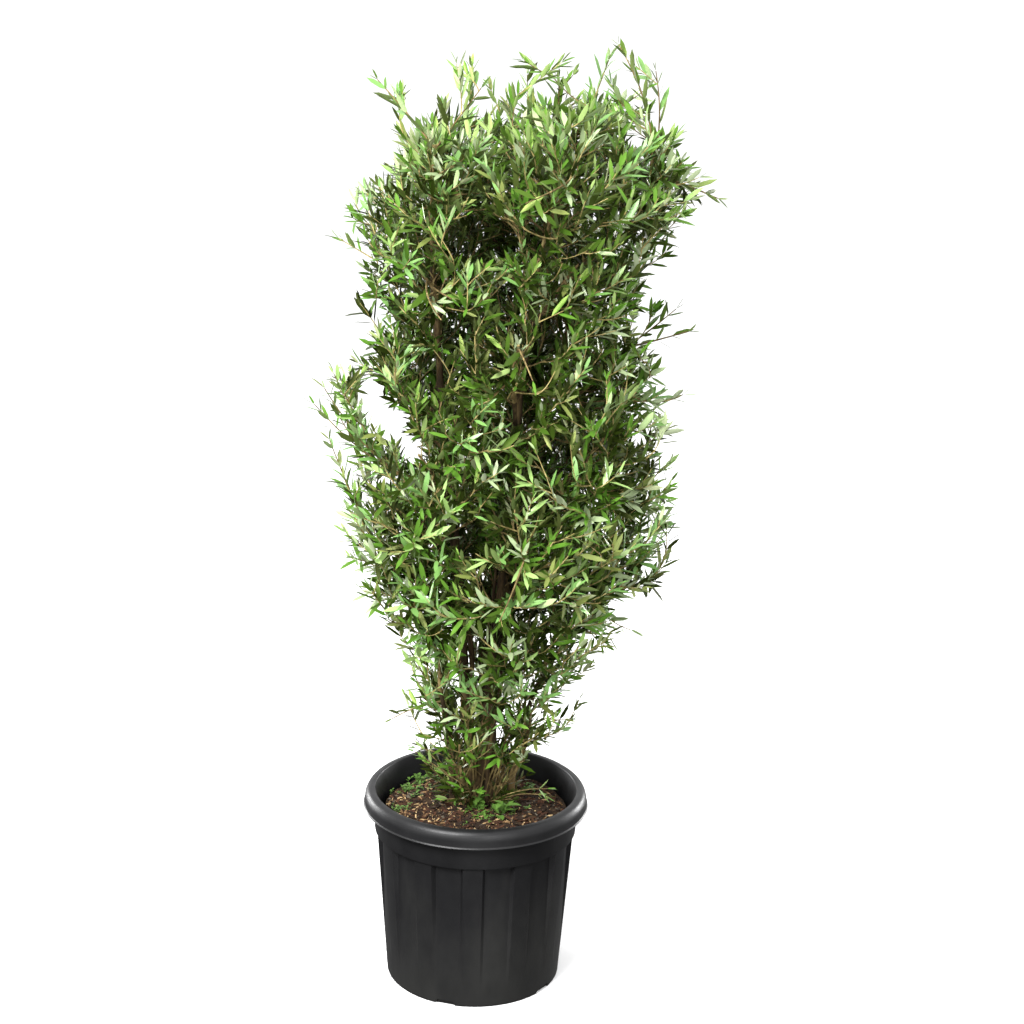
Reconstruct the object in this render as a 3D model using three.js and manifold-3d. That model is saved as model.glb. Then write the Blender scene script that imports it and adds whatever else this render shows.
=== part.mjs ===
// Potted olive bush: a many-stemmed olive, grown as a tall narrow column of foliage, in a fluted
// black nursery pot. Millimetres, +Z up, the origin at the middle of the pot's flat underside,
// the front of the bush towards -Y.
import * as THREE from "three";
import { mergeVertices } from "three/addons/utils/BufferGeometryUtils.js";
import Module from "manifold-3d";

const wasm = await Module();
wasm.setup();

// Driving dimensions.
const GAP = 0.3; // between pieces that touch
const POT = {
  height: 355,
  rimRadius: 200,
  mouthRadius: 178,
  lipHeight: 31, // the rolled rim, from its lower edge to the top
  collarRadius: 180,
  collarHeight: 47, // the plain band under the rim
  topRadius: 176, // of the fluted wall, where the collar meets it
  footRadius: 155.5,
  wall: 3.5,
  flutes: 12,
  fluteDepth: 8,
  fluteEnd: 45, // height at which the flutes run out
  notches: 5,
  notchWidth: 40,
  notchHeight: 9,
  notchTurn: -17, // degrees from the front, counted to the right
};
// Degrees from the middle of a ridge to the edges of the ridge and of the flute beside it.
const RIDGE_EDGES = [-5, 5, 8, 22];
const SOIL = { top: 322, drop: 7, flatRadius: 80 };

const TRUNK = { x: 4, y: 20, top: 398, radius: 25.5, flare: 1.42, flareHeight: 24, lean: 3 };
const FORK = 0.7; // how far up the trunk its stems have their feet
const FORK_SPREAD = 15; // of the stems' feet round the trunk's axis
const LOW_FORK = 0.36; // how far up the trunk the lowest foliage leaves it
const WOBBLE = 5; // of the stems
// The stems above the fork: where each ends, how late it bows out, its radii, and the side of the
// trunk that it leaves from.
const STEMS = [
  { name: "stem_left", tip: [-84, -46, 1325], bow: 0.85, foot: 10, end: 5.2, turn: 190 },
  { name: "stem_right", tip: [180, 6, 1330], bow: 1.75, foot: 11, end: 5.6, turn: 10 },
  { name: "stem_back", tip: [96, 98, 1320], bow: 1.2, foot: 9, end: 5.0, turn: 100 },
  { name: "stem_front", tip: [88, -104, 1300], bow: 1.3, foot: 9, end: 4.8, turn: 280 },
];
// The suckers rise from the soil beside the trunk.
const SUCKERS = [
  { name: "sucker_right", foot: [62, 26], tip: [112, 20, 560], radius: 6.5, end: 4.0 },
  { name: "sucker_left", foot: [-42, 0], tip: [-64, -38, 548], radius: 6.0, end: 3.8 },
];

// The crown's outline: how far it reaches left (-X) and right (+X) of the pot's axis.
const OUTLINE = [
  { z: 395, left: 60, right: 80 },
  { z: 488, left: 138, right: 180 },
  { z: 590, left: 132, right: 204 },
  { z: 676, left: 172, right: 275 },
  { z: 767, left: 245, right: 330 },
  { z: 903, left: 255, right: 342 },
  { z: 991, left: 225, right: 344 },
  { z: 1090, left: 272, right: 322 },
  { z: 1185, left: 212, right: 304 },
  { z: 1334, left: 254, right: 320 },
  { z: 1430, left: 238, right: 374 },
  { z: 1500, left: 182, right: 338 },
  { z: 1580, left: 166, right: 296 },
  { z: 1640, left: 60, right: 262 },
];
const CROWN_DEPTH = 0.94; // of the crown's reach front to back, against its reach left to right
const CROWN_Y = 6;
// The tiers of foliage: the middle height of each, how many masses it has, the first's angle, and
// the twigs on each mass.
const TIERS = [
  { z: 470, masses: 4, turn: 57, twigs: 4 },
  { z: 612, masses: 4, turn: 12, twigs: 6 },
  { z: 780, masses: 4, turn: 10, twigs: 6 },
  { z: 945, masses: 4, turn: 52, twigs: 6 },
  { z: 1108, masses: 4, turn: 5, twigs: 6 },
  { z: 1272, masses: 4, turn: 48, twigs: 6 },
  { z: 1450, masses: 5, turn: 0, twigs: 6 },
];
const STAGGER = 26; // of a tier's masses, up and down by turns
const RING = 0.56; // how far out the masses' middles lie
// Long shoots that stand out of the crown, by their tips.
const LONG_SHOOTS = [
  [206, -20, 1684],
  [270, 30, 1640],
  [-180, -40, 1622],
  [-14, -20, 1610],
  [112, 60, 1622],
  [390, -10, 1440],
  [-280, -50, 1096],
  [346, 10, 1216],
];

const BOUGH = {
  share: 0.6, // of the way from its stem to the middle of its mass
  radius: 7.5,
  against: 0.62, // its foot is no thicker than this share of its stem
  tip: 4.4,
  sag: 0.1, // of its length
  clear: 10, // from other limbs
};
// A mass's own stem: rise is its climb against its reach outwards, and room the share of a leaf's
// length that is left free at its end.
const MASS_STEM = { radius: 5.6, tip: 4.6, bend: 0.45, rise: 1.3, room: 0.7, least: 15 };
// The twigs leave their stem between first and last.
const TWIG = {
  radius: 2.2,
  tip: 2,
  first: 0.3,
  last: 0.92,
  outward: 0.45, // how much the twigs turn towards the outside of the crown
  room: 0.75,
  shortest: 25,
};
// The pairs of leaves, by their place along what they grow on.
const PAIRS = {
  stem: [0.5, 0.75],
  longStem: [0.25, 0.5, 0.75],
  twig: [0.45, 0.85],
  shortTwig: [0.75],
};
const LONG_STEM = 180;
const SHORT_TWIG = 55;
// near and far are where along a leaf its widest part begins and ends.
const LEAF = { length: 124, width: 34, thick: 2, near: 0.3, far: 0.68, angle: 44, sunk: 1.8 };
const LEAF_SIZES = [1, 0.82, 0.7]; // tried in turn where there is little space
const CLEAR = 1.5; // kept round a twig or a leaf
const SEED = 5;

const GOLDEN_ANGLE = Math.PI * (3 - Math.sqrt(5));
const UP = new THREE.Vector3(0, 0, 1);
const radians = THREE.MathUtils.degToRad;
const lerp = THREE.MathUtils.lerp;

// Seeded random numbers from 0 to 1.
function seeded(seed) {
  let state = seed >>> 0;
  return () => {
    state = (state + 0x6d2b79f5) >>> 0;
    let t = Math.imul(state ^ (state >>> 15), 1 | state);
    t = (t + Math.imul(t ^ (t >>> 7), 61 | t)) ^ t;
    return ((t ^ (t >>> 14)) >>> 0) / 4294967296;
  };
}

// Solids.

function solidOf(geometry) {
  const bare = new THREE.BufferGeometry();
  const loose = geometry.index ? geometry.toNonIndexed() : geometry;
  bare.setAttribute("position", loose.getAttribute("position"));
  const merged = mergeVertices(bare, 1e-3);
  return new wasm.Manifold(
    new wasm.Mesh({
      numProp: 3,
      vertProperties: merged.attributes.position.array,
      triVerts: merged.index.array,
    }),
  );
}

function geometryOf(solid) {
  const mesh = solid.getMesh();
  const geometry = new THREE.BufferGeometry();
  geometry.setAttribute("position", new THREE.BufferAttribute(mesh.vertProperties, 3));
  geometry.setIndex(new THREE.BufferAttribute(mesh.triVerts, 1));
  const flat = geometry.toNonIndexed();
  flat.computeVertexNormals();
  return flat;
}

// The largest body of a solid, without scraps or sealed hollows.
function largest(solid) {
  return solid.decompose().reduce((a, b) => (b.volume() > a.volume() ? b : a));
}

// A closed bar through points, with its radius at each. grow thickens it and lengthens its end.
function bar(points, radii, sides, grow = 0) {
  const steps = points.length - 1;
  const headings = points.map((_, i) => {
    const before = points[Math.max(0, i - 1)];
    return points[Math.min(steps, i + 1)].clone().sub(before).normalize();
  });
  const normal = new THREE.Vector3(0.8, 0.6, 0);
  const rings = points.map((point, i) => {
    normal.addScaledVector(headings[i], -normal.dot(headings[i])).normalize();
    const centre = point.clone().addScaledVector(headings[i], i === steps ? grow : 0);
    return { centre, a: normal.clone(), b: headings[i].clone().cross(normal) };
  });
  const geometry = new THREE.CylinderGeometry(1, 1, 1, sides, steps);
  const place = geometry.getAttribute("position");
  for (let i = 0; i < place.count; i++) {
    const step = Math.round((place.getY(i) + 0.5) * steps);
    const radius = radii[step] + grow;
    const { centre, a, b } = rings[step];
    const point = centre.clone();
    point.addScaledVector(a, place.getZ(i) * radius).addScaledVector(b, place.getX(i) * radius);
    place.setXYZ(i, point.x, point.y, point.z);
  }
  return solidOf(geometry);
}

// The point and the heading part of the way along a bar's points.
function along(points, t) {
  const place = t * (points.length - 1);
  const step = Math.min(Math.floor(place), points.length - 2);
  const from = points[step];
  const to = points[step + 1];
  const heading = to.clone().sub(from).normalize();
  return { point: from.clone().lerp(to, place - step), heading };
}

function box(width, depth, height) {
  return new THREE.BoxGeometry(width, depth, height);
}

// Pot and soil.

function wallRadius(z) {
  const collarZ = POT.height - POT.lipHeight - POT.collarHeight;
  return lerp(POT.footRadius, POT.topRadius, z / collarZ);
}

function insideRadius(z) {
  const ledgeZ = POT.height - POT.lipHeight - POT.collarHeight;
  return wallRadius(z) - POT.fluteDepth * Math.min(1, z / ledgeZ) - POT.wall;
}

// The pot is turned from one profile, with its wall pushed in at the flutes.
function potSolid() {
  const { height, rimRadius, mouthRadius, collarRadius, wall } = POT;
  const lipZ = height - POT.lipHeight;
  const collarZ = lipZ - POT.collarHeight;
  const ledgeZ = collarZ - 8;
  const rows = [
    { r: 0, z: 0 },
    { r: POT.footRadius, z: 0 },
    { r: wallRadius(POT.fluteEnd), z: POT.fluteEnd },
    { r: wallRadius(ledgeZ), z: ledgeZ, sunk: POT.fluteDepth },
    { r: wallRadius(collarZ), z: collarZ },
    { r: collarRadius - 1, z: collarZ + 1 },
    { r: collarRadius + 1, z: lipZ },
    { r: rimRadius - 2, z: lipZ },
    { r: rimRadius, z: lipZ + 4 },
    { r: rimRadius - 4, z: height - 7 },
    { r: rimRadius - 11, z: height },
    { r: mouthRadius + 2, z: height },
    { r: insideRadius(collarZ), z: collarZ },
    { r: insideRadius(0), z: wall },
    { r: 0, z: wall },
  ];
  const columns = POT.flutes * RIDGE_EDGES.length;
  const profile = rows.map(({ r, z }) => new THREE.Vector2(r, z));
  const geometry = new THREE.LatheGeometry(profile, columns);
  const place = geometry.getAttribute("position");
  for (let i = 0; i < place.count; i++) {
    const column = Math.floor(i / rows.length) % columns;
    const flute = Math.floor(column / RIDGE_EDGES.length);
    const edge = column % RIDGE_EDGES.length;
    const { r, z, sunk = 0 } = rows[i % rows.length];
    const turn = radians((flute * 360) / POT.flutes + RIDGE_EDGES[edge]);
    const radius = edge < 2 ? r : r - sunk;
    place.setXYZ(i, radius * Math.sin(turn), z, radius * Math.cos(turn));
  }
  geometry.rotateX(Math.PI / 2);
  let pot = solidOf(geometry);
  for (let k = 0; k < POT.notches; k++) {
    const notch = box(POT.notchWidth, 24, 2 * POT.notchHeight);
    notch.translate(0, -POT.footRadius, 0);
    notch.rotateZ(radians(POT.notchTurn + (k * 360) / POT.notches));
    pot = pot.subtract(solidOf(notch));
  }
  return pot;
}

function soilSolid() {
  const low = POT.wall + GAP;
  const edgeZ = SOIL.top - SOIL.drop;
  const collarZ = POT.height - POT.lipHeight - POT.collarHeight;
  const clear = 1.6; // the wall's flat faces stand in from its corners
  const rows = [
    [0, low],
    [insideRadius(low) - clear, low],
    [insideRadius(collarZ) - clear, collarZ],
    [insideRadius(collarZ) - clear, edgeZ],
    [120, SOIL.top - 2.5],
    [SOIL.flatRadius, SOIL.top],
    [0, SOIL.top],
  ];
  const profile = rows.map(([r, z]) => new THREE.Vector2(r, z));
  const geometry = new THREE.LatheGeometry(profile, 30);
  geometry.rotateX(Math.PI / 2);
  return solidOf(geometry);
}

// Limbs: each has points, its radius at each, and the limb that it grows from.

function limb(name, curve, radiusAt, sides, steps, parent = null) {
  const points = curve.getSpacedPoints(steps);
  const radii = points.map((_, i) => radiusAt(i / steps));
  return { name, points, radii, sides, parent };
}

function trunkLimb() {
  const { x, y, top, radius, flare, flareHeight, lean } = TRUNK;
  const low = SOIL.top - 8;
  const foot = new THREE.Vector3(x, y, low);
  const curve = new THREE.LineCurve3(foot, new THREE.Vector3(x + lean, y, top));
  const radiusAt = (t) => {
    const height = t * (top - low);
    const root = radius * (flare - 1) * Math.exp(-height / flareHeight);
    const shoulder = Math.max(0, (t - FORK) / (1 - FORK));
    return (radius + root) * Math.sqrt(1 - 0.4 * shoulder * shoulder);
  };
  return limb("trunk", curve, radiusAt, 14, 6);
}

function stemLimb(spec, trunk, order) {
  const foot = along(trunk.points, FORK).point;
  foot.x += FORK_SPREAD * Math.cos(radians(spec.turn));
  foot.y += FORK_SPREAD * Math.sin(radians(spec.turn));
  const tip = new THREE.Vector3(...spec.tip);
  const points = [];
  const bends = 7;
  for (let i = 0; i <= bends; i++) {
    const height = i / bends;
    const out = Math.pow(height, spec.bow);
    const sway = WOBBLE * Math.sin(2.1 * order + 5.3 * height) * Math.min(1, height * 4);
    const x = lerp(foot.x, tip.x, out) + sway;
    const y = lerp(foot.y, tip.y, out) - sway;
    points.push(new THREE.Vector3(x, y, lerp(foot.z, tip.z, height)));
  }
  const curve = new THREE.CatmullRomCurve3(points);
  const radiusAt = (t) => lerp(spec.foot, spec.end, Math.pow(t, 0.85));
  return limb(spec.name, curve, radiusAt, 6, 10, trunk);
}

function suckerLimb(spec) {
  const foot = new THREE.Vector3(...spec.foot, SOIL.top - 8);
  const tip = new THREE.Vector3(...spec.tip);
  const bend = new THREE.Vector3(foot.x, foot.y, lerp(foot.z, tip.z, 0.5));
  const curve = new THREE.QuadraticBezierCurve3(foot, bend, tip);
  const radiusAt = (t) => lerp(spec.radius, spec.end, t);
  return limb(spec.name, curve, radiusAt, 6, 5);
}

// The crown.

// The crown's middle and reach at a height. Above the outline's top it reaches nowhere.
function crownAt(z) {
  const above = OUTLINE.findIndex((row) => row.z >= z);
  if (above === -1) return { middle: 0, reach: 0 };
  const high = OUTLINE[above];
  const low = OUTLINE[Math.max(0, above - 1)];
  const t = high === low ? 0 : (z - low.z) / (high.z - low.z);
  const left = lerp(low.left, high.left, t);
  const right = lerp(low.right, high.right, t);
  return { middle: (right - left) / 2, reach: (right + left) / 2 };
}

// How far a point is inside the crown's outline.
function depthInCrown(point) {
  const { middle, reach } = crownAt(point.z);
  const out = Math.hypot(point.x - middle, (point.y - CROWN_Y) / CROWN_DEPTH);
  return Math.min(reach - out, point.z - OUTLINE[0].z);
}

function crownMasses() {
  const masses = [];
  TIERS.forEach((tier, level) => {
    const random = seeded(level + 1);
    const { middle, reach } = crownAt(tier.z);
    for (let k = 0; k < tier.masses; k++) {
      const angle = radians(tier.turn + (k * 360) / tier.masses + 10 * (random() - 0.5));
      const out = new THREE.Vector3(Math.cos(angle), CROWN_DEPTH * Math.sin(angle), 0);
      const stagger = STAGGER * (k % 2 ? 1 : -1) + 20 * (random() - 0.5);
      const place = new THREE.Vector3(middle, CROWN_Y, tier.z + stagger);
      place.addScaledVector(out, RING * reach);
      masses.push({
        name: `foliage_${level + 1}_${k + 1}`,
        level,
        seed: 100 * SEED + 10 * level + k,
        middle: place,
        out: out.normalize(),
        shoots: [],
      });
    }
  });
  return masses;
}

function nearestMass(masses, point) {
  const distance = (mass) => mass.middle.distanceTo(point);
  return masses.reduce((a, b) => (distance(b) < distance(a) ? b : a));
}

// How far inside a mass's share of the crown a point is: the share is bounded by the planes half
// way to every other mass's middle.
function depthInShare(mass, masses, point) {
  let least = Infinity;
  for (const other of masses) {
    if (other === mass) continue;
    const away = mass.middle.clone().sub(other.middle);
    const half = mass.middle.clone().add(other.middle).multiplyScalar(0.5);
    least = Math.min(least, point.clone().sub(half).dot(away) / away.length());
  }
  return least;
}

// The lowest masses grow from the trunk itself. Of the others, the one nearest above the tip of
// each stem and sucker grows from that tip, and the rest have a bough each.
function carryMasses(masses, trunk, stems, suckers) {
  const leastRise = 40;
  for (const tipped of [...stems, ...suckers]) {
    const tip = tipped.points.at(-1);
    const above = masses.filter((mass) => !mass.carrier && mass.middle.z > tip.z + leastRise);
    nearestMass(above, tip).carrier = tipped;
  }
  const boughs = [];
  for (const mass of masses.filter((each) => !each.carrier)) {
    if (mass.level === 0) {
      mass.carrier = trunk;
    } else {
      const limbs = [trunk, ...stems, ...suckers, ...boughs];
      mass.carrier = boughTo(mass, stems, limbs, `bough_${boughs.length + 1}`);
      boughs.push(mass.carrier);
    }
  }
  return boughs;
}

// A bough leaves the stem that lets it rise to its mass at about 45 degrees, clear of every other
// limb.
function boughTo(mass, stems, limbs, name) {
  let best = { cost: Infinity };
  for (const stem of stems) {
    for (let i = 2; i < stem.points.length - 1; i++) {
      const away = mass.middle.clone().sub(stem.points[i]);
      const flat = Math.hypot(away.x, away.y);
      const cost = flat + Math.abs(away.z - flat);
      if (cost > best.cost) continue;
      const bough = boughFrom(stem, i, mass, name);
      const others = limbs.filter((piece) => piece !== stem);
      if (!touches(bough.points, others, BOUGH.clear)) best = { cost, bough };
    }
  }
  return best.bough;
}

// True where a line through points comes nearer to a limb than the clearance.
function touches(points, limbs, clearance) {
  const between = points.slice(1).map((point, i) => point.clone().lerp(points[i], 0.5));
  const near = (piece) => (point) => distanceToLimb(piece, point) < clearance;
  return limbs.some((piece) => [...points, ...between].some(near(piece)));
}

function boughFrom(stem, step, mass, name) {
  const foot = stem.points[step];
  const tip = foot.clone().lerp(mass.middle, BOUGH.share);
  const bend = foot.clone().lerp(tip, 0.5);
  bend.z -= BOUGH.sag * foot.distanceTo(tip);
  const curve = new THREE.QuadraticBezierCurve3(foot, bend, tip);
  const thick = Math.min(BOUGH.radius, BOUGH.against * stem.radii[step]);
  return limb(name, curve, (t) => lerp(thick, BOUGH.tip, t), 5, 2, stem);
}

// Foliage.

function distanceToLimb(piece, point) {
  let least = Infinity;
  const span = new THREE.Line3();
  const near = new THREE.Vector3();
  for (let i = 1; i < piece.points.length; i++) {
    span.set(piece.points[i - 1], piece.points[i]);
    span.closestPointToPoint(point, true, near);
    const radius = Math.max(piece.radii[i - 1], piece.radii[i]);
    least = Math.min(least, near.distanceTo(point) - radius);
  }
  return least;
}

// True where a straight piece keeps to the mass's share, off every limb and out of the pot.
function isFree(mass, masses, limbs, from, to, halfWidth) {
  const samples = 6;
  for (let i = 0; i <= samples; i++) {
    const t = i / samples;
    const point = from.clone().lerp(to, t);
    const half = halfWidth * Math.min(1, t / LEAF.near, (1 - t) / (1 - LEAF.far)) + CLEAR;
    if (depthInShare(mass, masses, point) < half) return false;
    if (limbs.some((piece) => distanceToLimb(piece, point) < half)) return false;
    if (point.z < POT.height + 10) return false;
  }
  return true;
}

// A leaf is a flat hexagon, long and narrow, with its corners by turns above and below.
function leafSolid(root, direction, normal, length) {
  const side = new THREE.Vector3().crossVectors(normal, direction).normalize();
  const up = new THREE.Vector3().crossVectors(direction, side);
  const wide = (LEAF.width * length) / LEAF.length / 2;
  const thick = LEAF.thick / 2;
  const corners = [
    [0, 0, 0],
    [length, 0, 0],
    [LEAF.far * length, -wide, thick],
    [LEAF.near * length, wide, -thick],
    [LEAF.far * length, wide, thick],
    [LEAF.near * length, -wide, -thick],
  ];
  const faces = [0, 2, 4, 0, 4, 3, 0, 3, 5, 0, 5, 2, 1, 2, 5, 1, 5, 3, 1, 3, 4, 1, 4, 2];
  const geometry = new THREE.BufferGeometry();
  geometry.setFromPoints(corners.map((corner) => new THREE.Vector3(...corner)));
  geometry.setIndex(faces);
  geometry.applyMatrix4(new THREE.Matrix4().makeBasis(direction, side, up).setPosition(root));
  return solidOf(geometry);
}

// A leaf that starts inside its twig, shorter where the space or another leaf asks for it, or none.
function leafOn(grown, root, direction, normal, random) {
  const length = LEAF.length * lerp(0.92, 1.08, random());
  for (const size of LEAF_SIZES) {
    const tip = root.clone().addScaledVector(direction, length * size);
    if (!grown.free(root.clone().lerp(tip, 0.12), tip, (LEAF.width * size) / 2)) continue;
    const outer = leafSolid(root.clone().lerp(tip, 0.1), direction, normal, 0.9 * length * size);
    if (!outer.intersect(grown.solid).isEmpty()) continue;
    const leaf = leafSolid(root, direction, normal, length * size);
    grown.solid = grown.solid.add(leaf);
    return;
  }
}

// Opposite pairs of leaves along a shoot, each pair a quarter turn on from the last, and one leaf
// at its tip.
function leavesAlong(grown, shoot, places, random) {
  places.forEach((t, i) => {
    const { point, heading } = along(shoot, t);
    const across = new THREE.Vector3().crossVectors(heading, UP).normalize();
    across.applyAxisAngle(heading, (i % 2) * (Math.PI / 2) + 0.6 * (random() - 0.5));
    for (const sign of [1, -1]) {
      const angle = radians(LEAF.angle) + 0.3 * (random() - 0.5);
      const direction = heading.clone().multiplyScalar(Math.cos(angle));
      direction.addScaledVector(across, sign * Math.sin(angle)).normalize();
      const root = point.clone().addScaledVector(direction, 0.1);
      leafOn(grown, root, direction, heading, random);
    }
  });
  const { point, heading } = along(shoot, 1);
  const across = new THREE.Vector3().crossVectors(heading, UP);
  const normal = across.clone().cross(heading).addScaledVector(across, random() - 0.5);
  leafOn(grown, point.addScaledVector(heading, -LEAF.sunk), heading, normal, random);
}

// From the mass's middle out along a direction, how far its space goes.
function spaceAlong(mass, masses, direction) {
  const step = 8;
  const point = mass.middle.clone();
  let gone = 0;
  while (depthInShare(mass, masses, point) > 2 && depthInCrown(point) > 0) {
    point.addScaledVector(direction, step);
    gone += step;
  }
  return gone;
}

// The mass's one stem runs straight on from its carrier's tip, or out of the trunk, and then up to
// near the top and the outside of its space.
function massStem(mass, masses) {
  const { point: root, heading } = along(mass.carrier.points, mass.level === 0 ? LOW_FORK : 1);
  if (mass.level === 0) heading.copy(mass.out);
  else root.addScaledVector(heading, GAP);
  const rise = mass.out.clone().addScaledVector(UP, MASS_STEM.rise).normalize();
  const far = spaceAlong(mass, masses, rise) - MASS_STEM.room * LEAF.length;
  const tip = mass.middle.clone().addScaledVector(rise, Math.max(MASS_STEM.least, far));
  const bend = root.clone().addScaledVector(heading, MASS_STEM.bend * root.distanceTo(tip));
  const { radius, tip: thin } = MASS_STEM;
  return { points: [root, bend, tip], radii: [radius, (radius + thin) / 2, thin], sides: 3 };
}

function twigFrom(stem, t, end) {
  return { points: [along(stem.points, t).point, end], radii: [TWIG.radius, TWIG.tip], sides: 3 };
}

// A long shoot leaves room at its end for one leaf.
function longShoot(stem, tip) {
  const shoot = twigFrom(stem, 0.96, tip);
  const foot = shoot.points[0];
  shoot.points[1].lerp(foot, LEAF.length / foot.distanceTo(tip));
  return shoot;
}

// The twigs' directions are spread evenly, more of them outwards than inwards.
function massTwigs(mass, masses, free, random) {
  const twigs = [];
  const offset = random() * 2 * Math.PI;
  const count = TIERS[mass.level].twigs;
  for (let i = 0; i < count; i++) {
    const height = (2 * (i + 0.5)) / count - 1;
    const flat = Math.sqrt(1 - height * height);
    const turn = offset + i * GOLDEN_ANGLE;
    const direction = new THREE.Vector3(flat * Math.cos(turn), flat * Math.sin(turn), height);
    direction.addScaledVector(mass.out, TWIG.outward).normalize();
    const far = spaceAlong(mass, masses, direction) - TWIG.room * LEAF.length;
    const end = mass.middle.clone().addScaledVector(direction, far);
    const twig = twigFrom(mass.stem, lerp(TWIG.first, TWIG.last, i / (count - 1)), end);
    const foot = twig.points[0];
    if (foot.distanceTo(end) > TWIG.shortest && free(foot, end, TWIG.radius)) twigs.push(twig);
  }
  return twigs;
}

// One mass of foliage, kept off the limbs and off the stems and long shoots of the other masses.
function foliage(mass, masses, limbs) {
  const random = seeded(mass.seed);
  const others = masses.filter((other) => other !== mass);
  const obstacles = [...limbs, ...others.flatMap((other) => [other.stem, ...other.shoots])];
  const free = (from, to, half) => isFree(mass, masses, obstacles, from, to, half);
  const twigs = [...massTwigs(mass, masses, free, random), ...mass.shoots];
  const grown = { solid: limbShape(mass.stem), free };
  for (const twig of twigs) grown.solid = grown.solid.add(limbShape(twig));
  for (const { points } of twigs) {
    const short = points[0].distanceTo(points[1]) < SHORT_TWIG;
    leavesAlong(grown, points, short ? PAIRS.shortTwig : PAIRS.twig, random);
  }
  const [root, bend, tip] = mass.stem.points;
  const long = root.distanceTo(bend) + bend.distanceTo(tip) > LONG_STEM;
  leavesAlong(grown, mass.stem.points, long ? PAIRS.longStem : PAIRS.stem, random);
  if (mass.level > 0) return largest(grown.solid);
  return largest(grown.solid.subtract(limbShape(mass.carrier, GAP)));
}

// Assembly.

function limbShape(piece, grow = 0) {
  return bar(piece.points, piece.radii, piece.sides, grow);
}

// A limb is cut clear of the limb that it grows from, or else flat at the soil.
function limbSolid(piece) {
  if (piece.parent) return largest(limbShape(piece).subtract(limbShape(piece.parent, GAP)));
  const below = box(600, 600, 60);
  below.translate(0, 0, SOIL.top + GAP - 30);
  return largest(limbShape(piece).subtract(solidOf(below)));
}

const LOOKS = {
  pot: { color: 0x26282a, roughness: 0.55, metalness: 0 },
  soil: { color: 0x4a3426, roughness: 0.95, metalness: 0 },
  bark: { color: 0x6d5a45, roughness: 0.9, metalness: 0 },
  leaves: { color: 0x5d7f35, roughness: 0.5, metalness: 0 },
};

function node(name, solid, look) {
  const mesh = new THREE.Mesh(geometryOf(solid), new THREE.MeshStandardMaterial(LOOKS[look]));
  mesh.name = name;
  return mesh;
}

const trunk = trunkLimb();
const stems = STEMS.map((spec, i) => stemLimb(spec, trunk, i));
const suckers = SUCKERS.map(suckerLimb);
const masses = crownMasses();
const boughs = carryMasses(masses, trunk, stems, suckers);
const limbs = [trunk, ...stems, ...suckers, ...boughs];
for (const mass of masses) mass.stem = massStem(mass, masses);
for (const tip of LONG_SHOOTS.map((place) => new THREE.Vector3(...place))) {
  const mass = nearestMass(masses, tip);
  mass.shoots.push(longShoot(mass.stem, tip));
}

const bush = new THREE.Group();
bush.add(node("pot", potSolid(), "pot"));
bush.add(node("soil", soilSolid(), "soil"));
for (const piece of limbs) bush.add(node(piece.name, limbSolid(piece), "bark"));
for (const mass of masses) bush.add(node(mass.name, foliage(mass, masses, limbs), "leaves"));

export default bush;
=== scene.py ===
# Potted olive bush: a many-stemmed olive, grown as a tall narrow column of foliage, in a fluted
# black nursery pot. Sizes are in millimetres until a mesh is made, which is in metres.
import math

import bpy
import numpy as np
from mathutils import Matrix, Vector, noise


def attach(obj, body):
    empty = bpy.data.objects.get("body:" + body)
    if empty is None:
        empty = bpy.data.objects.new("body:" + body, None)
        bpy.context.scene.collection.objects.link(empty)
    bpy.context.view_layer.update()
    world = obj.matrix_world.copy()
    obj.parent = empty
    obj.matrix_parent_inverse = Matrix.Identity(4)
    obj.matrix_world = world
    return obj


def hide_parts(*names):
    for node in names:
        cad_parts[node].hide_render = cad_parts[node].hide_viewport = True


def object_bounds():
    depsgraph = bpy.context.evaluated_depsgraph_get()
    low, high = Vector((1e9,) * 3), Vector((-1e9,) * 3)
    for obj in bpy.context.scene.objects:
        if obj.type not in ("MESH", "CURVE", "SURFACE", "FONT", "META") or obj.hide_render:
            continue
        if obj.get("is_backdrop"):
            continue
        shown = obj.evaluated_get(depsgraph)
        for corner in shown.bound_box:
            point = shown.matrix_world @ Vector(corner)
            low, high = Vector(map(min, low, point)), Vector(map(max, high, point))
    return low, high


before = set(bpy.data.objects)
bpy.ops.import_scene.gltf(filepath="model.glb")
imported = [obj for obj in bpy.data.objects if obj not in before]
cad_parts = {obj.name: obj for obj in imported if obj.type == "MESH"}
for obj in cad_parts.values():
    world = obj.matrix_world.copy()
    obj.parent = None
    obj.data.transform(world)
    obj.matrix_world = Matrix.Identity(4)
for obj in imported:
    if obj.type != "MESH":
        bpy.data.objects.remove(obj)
cad_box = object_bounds()

MM = 0.001

# Sizes and places. They are the solids' own, but for those that a comment tells apart.
GAP = 0.3
POT_HEIGHT = 355
RIM_RADIUS = 200
MOUTH_RADIUS = 178
LIP_HEIGHT = 31
COLLAR_RADIUS = 180
COLLAR_HEIGHT = 47
TOP_RADIUS = 176
FOOT_RADIUS = 155.5
WALL = 3.5
FLUTES = 12
FLUTE_DEPTH = 9  # 8 in the solids
FLUTE_END = 45
RIDGE_HALF = 5.6  # degrees; 5 in the solids
NOTCHES = 5
NOTCH_WIDTH = 40
NOTCH_HEIGHT = 9
NOTCH_TURN = -17
BASE_TOP = 16  # the upper face of the pot's floor, at 3.5 in the solids
LIP_Z = POT_HEIGHT - LIP_HEIGHT
COLLAR_Z = LIP_Z - COLLAR_HEIGHT
LEDGE_Z = COLLAR_Z - 1.5  # where the flutes start to close; 8 under the collar in the solids
SOIL_TOP = 322
SOIL_DROP = 7
SOIL_FLAT = 80
ROOT_Z = SOIL_TOP - 8  # where the trunk and the suckers start, inside the soil

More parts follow.
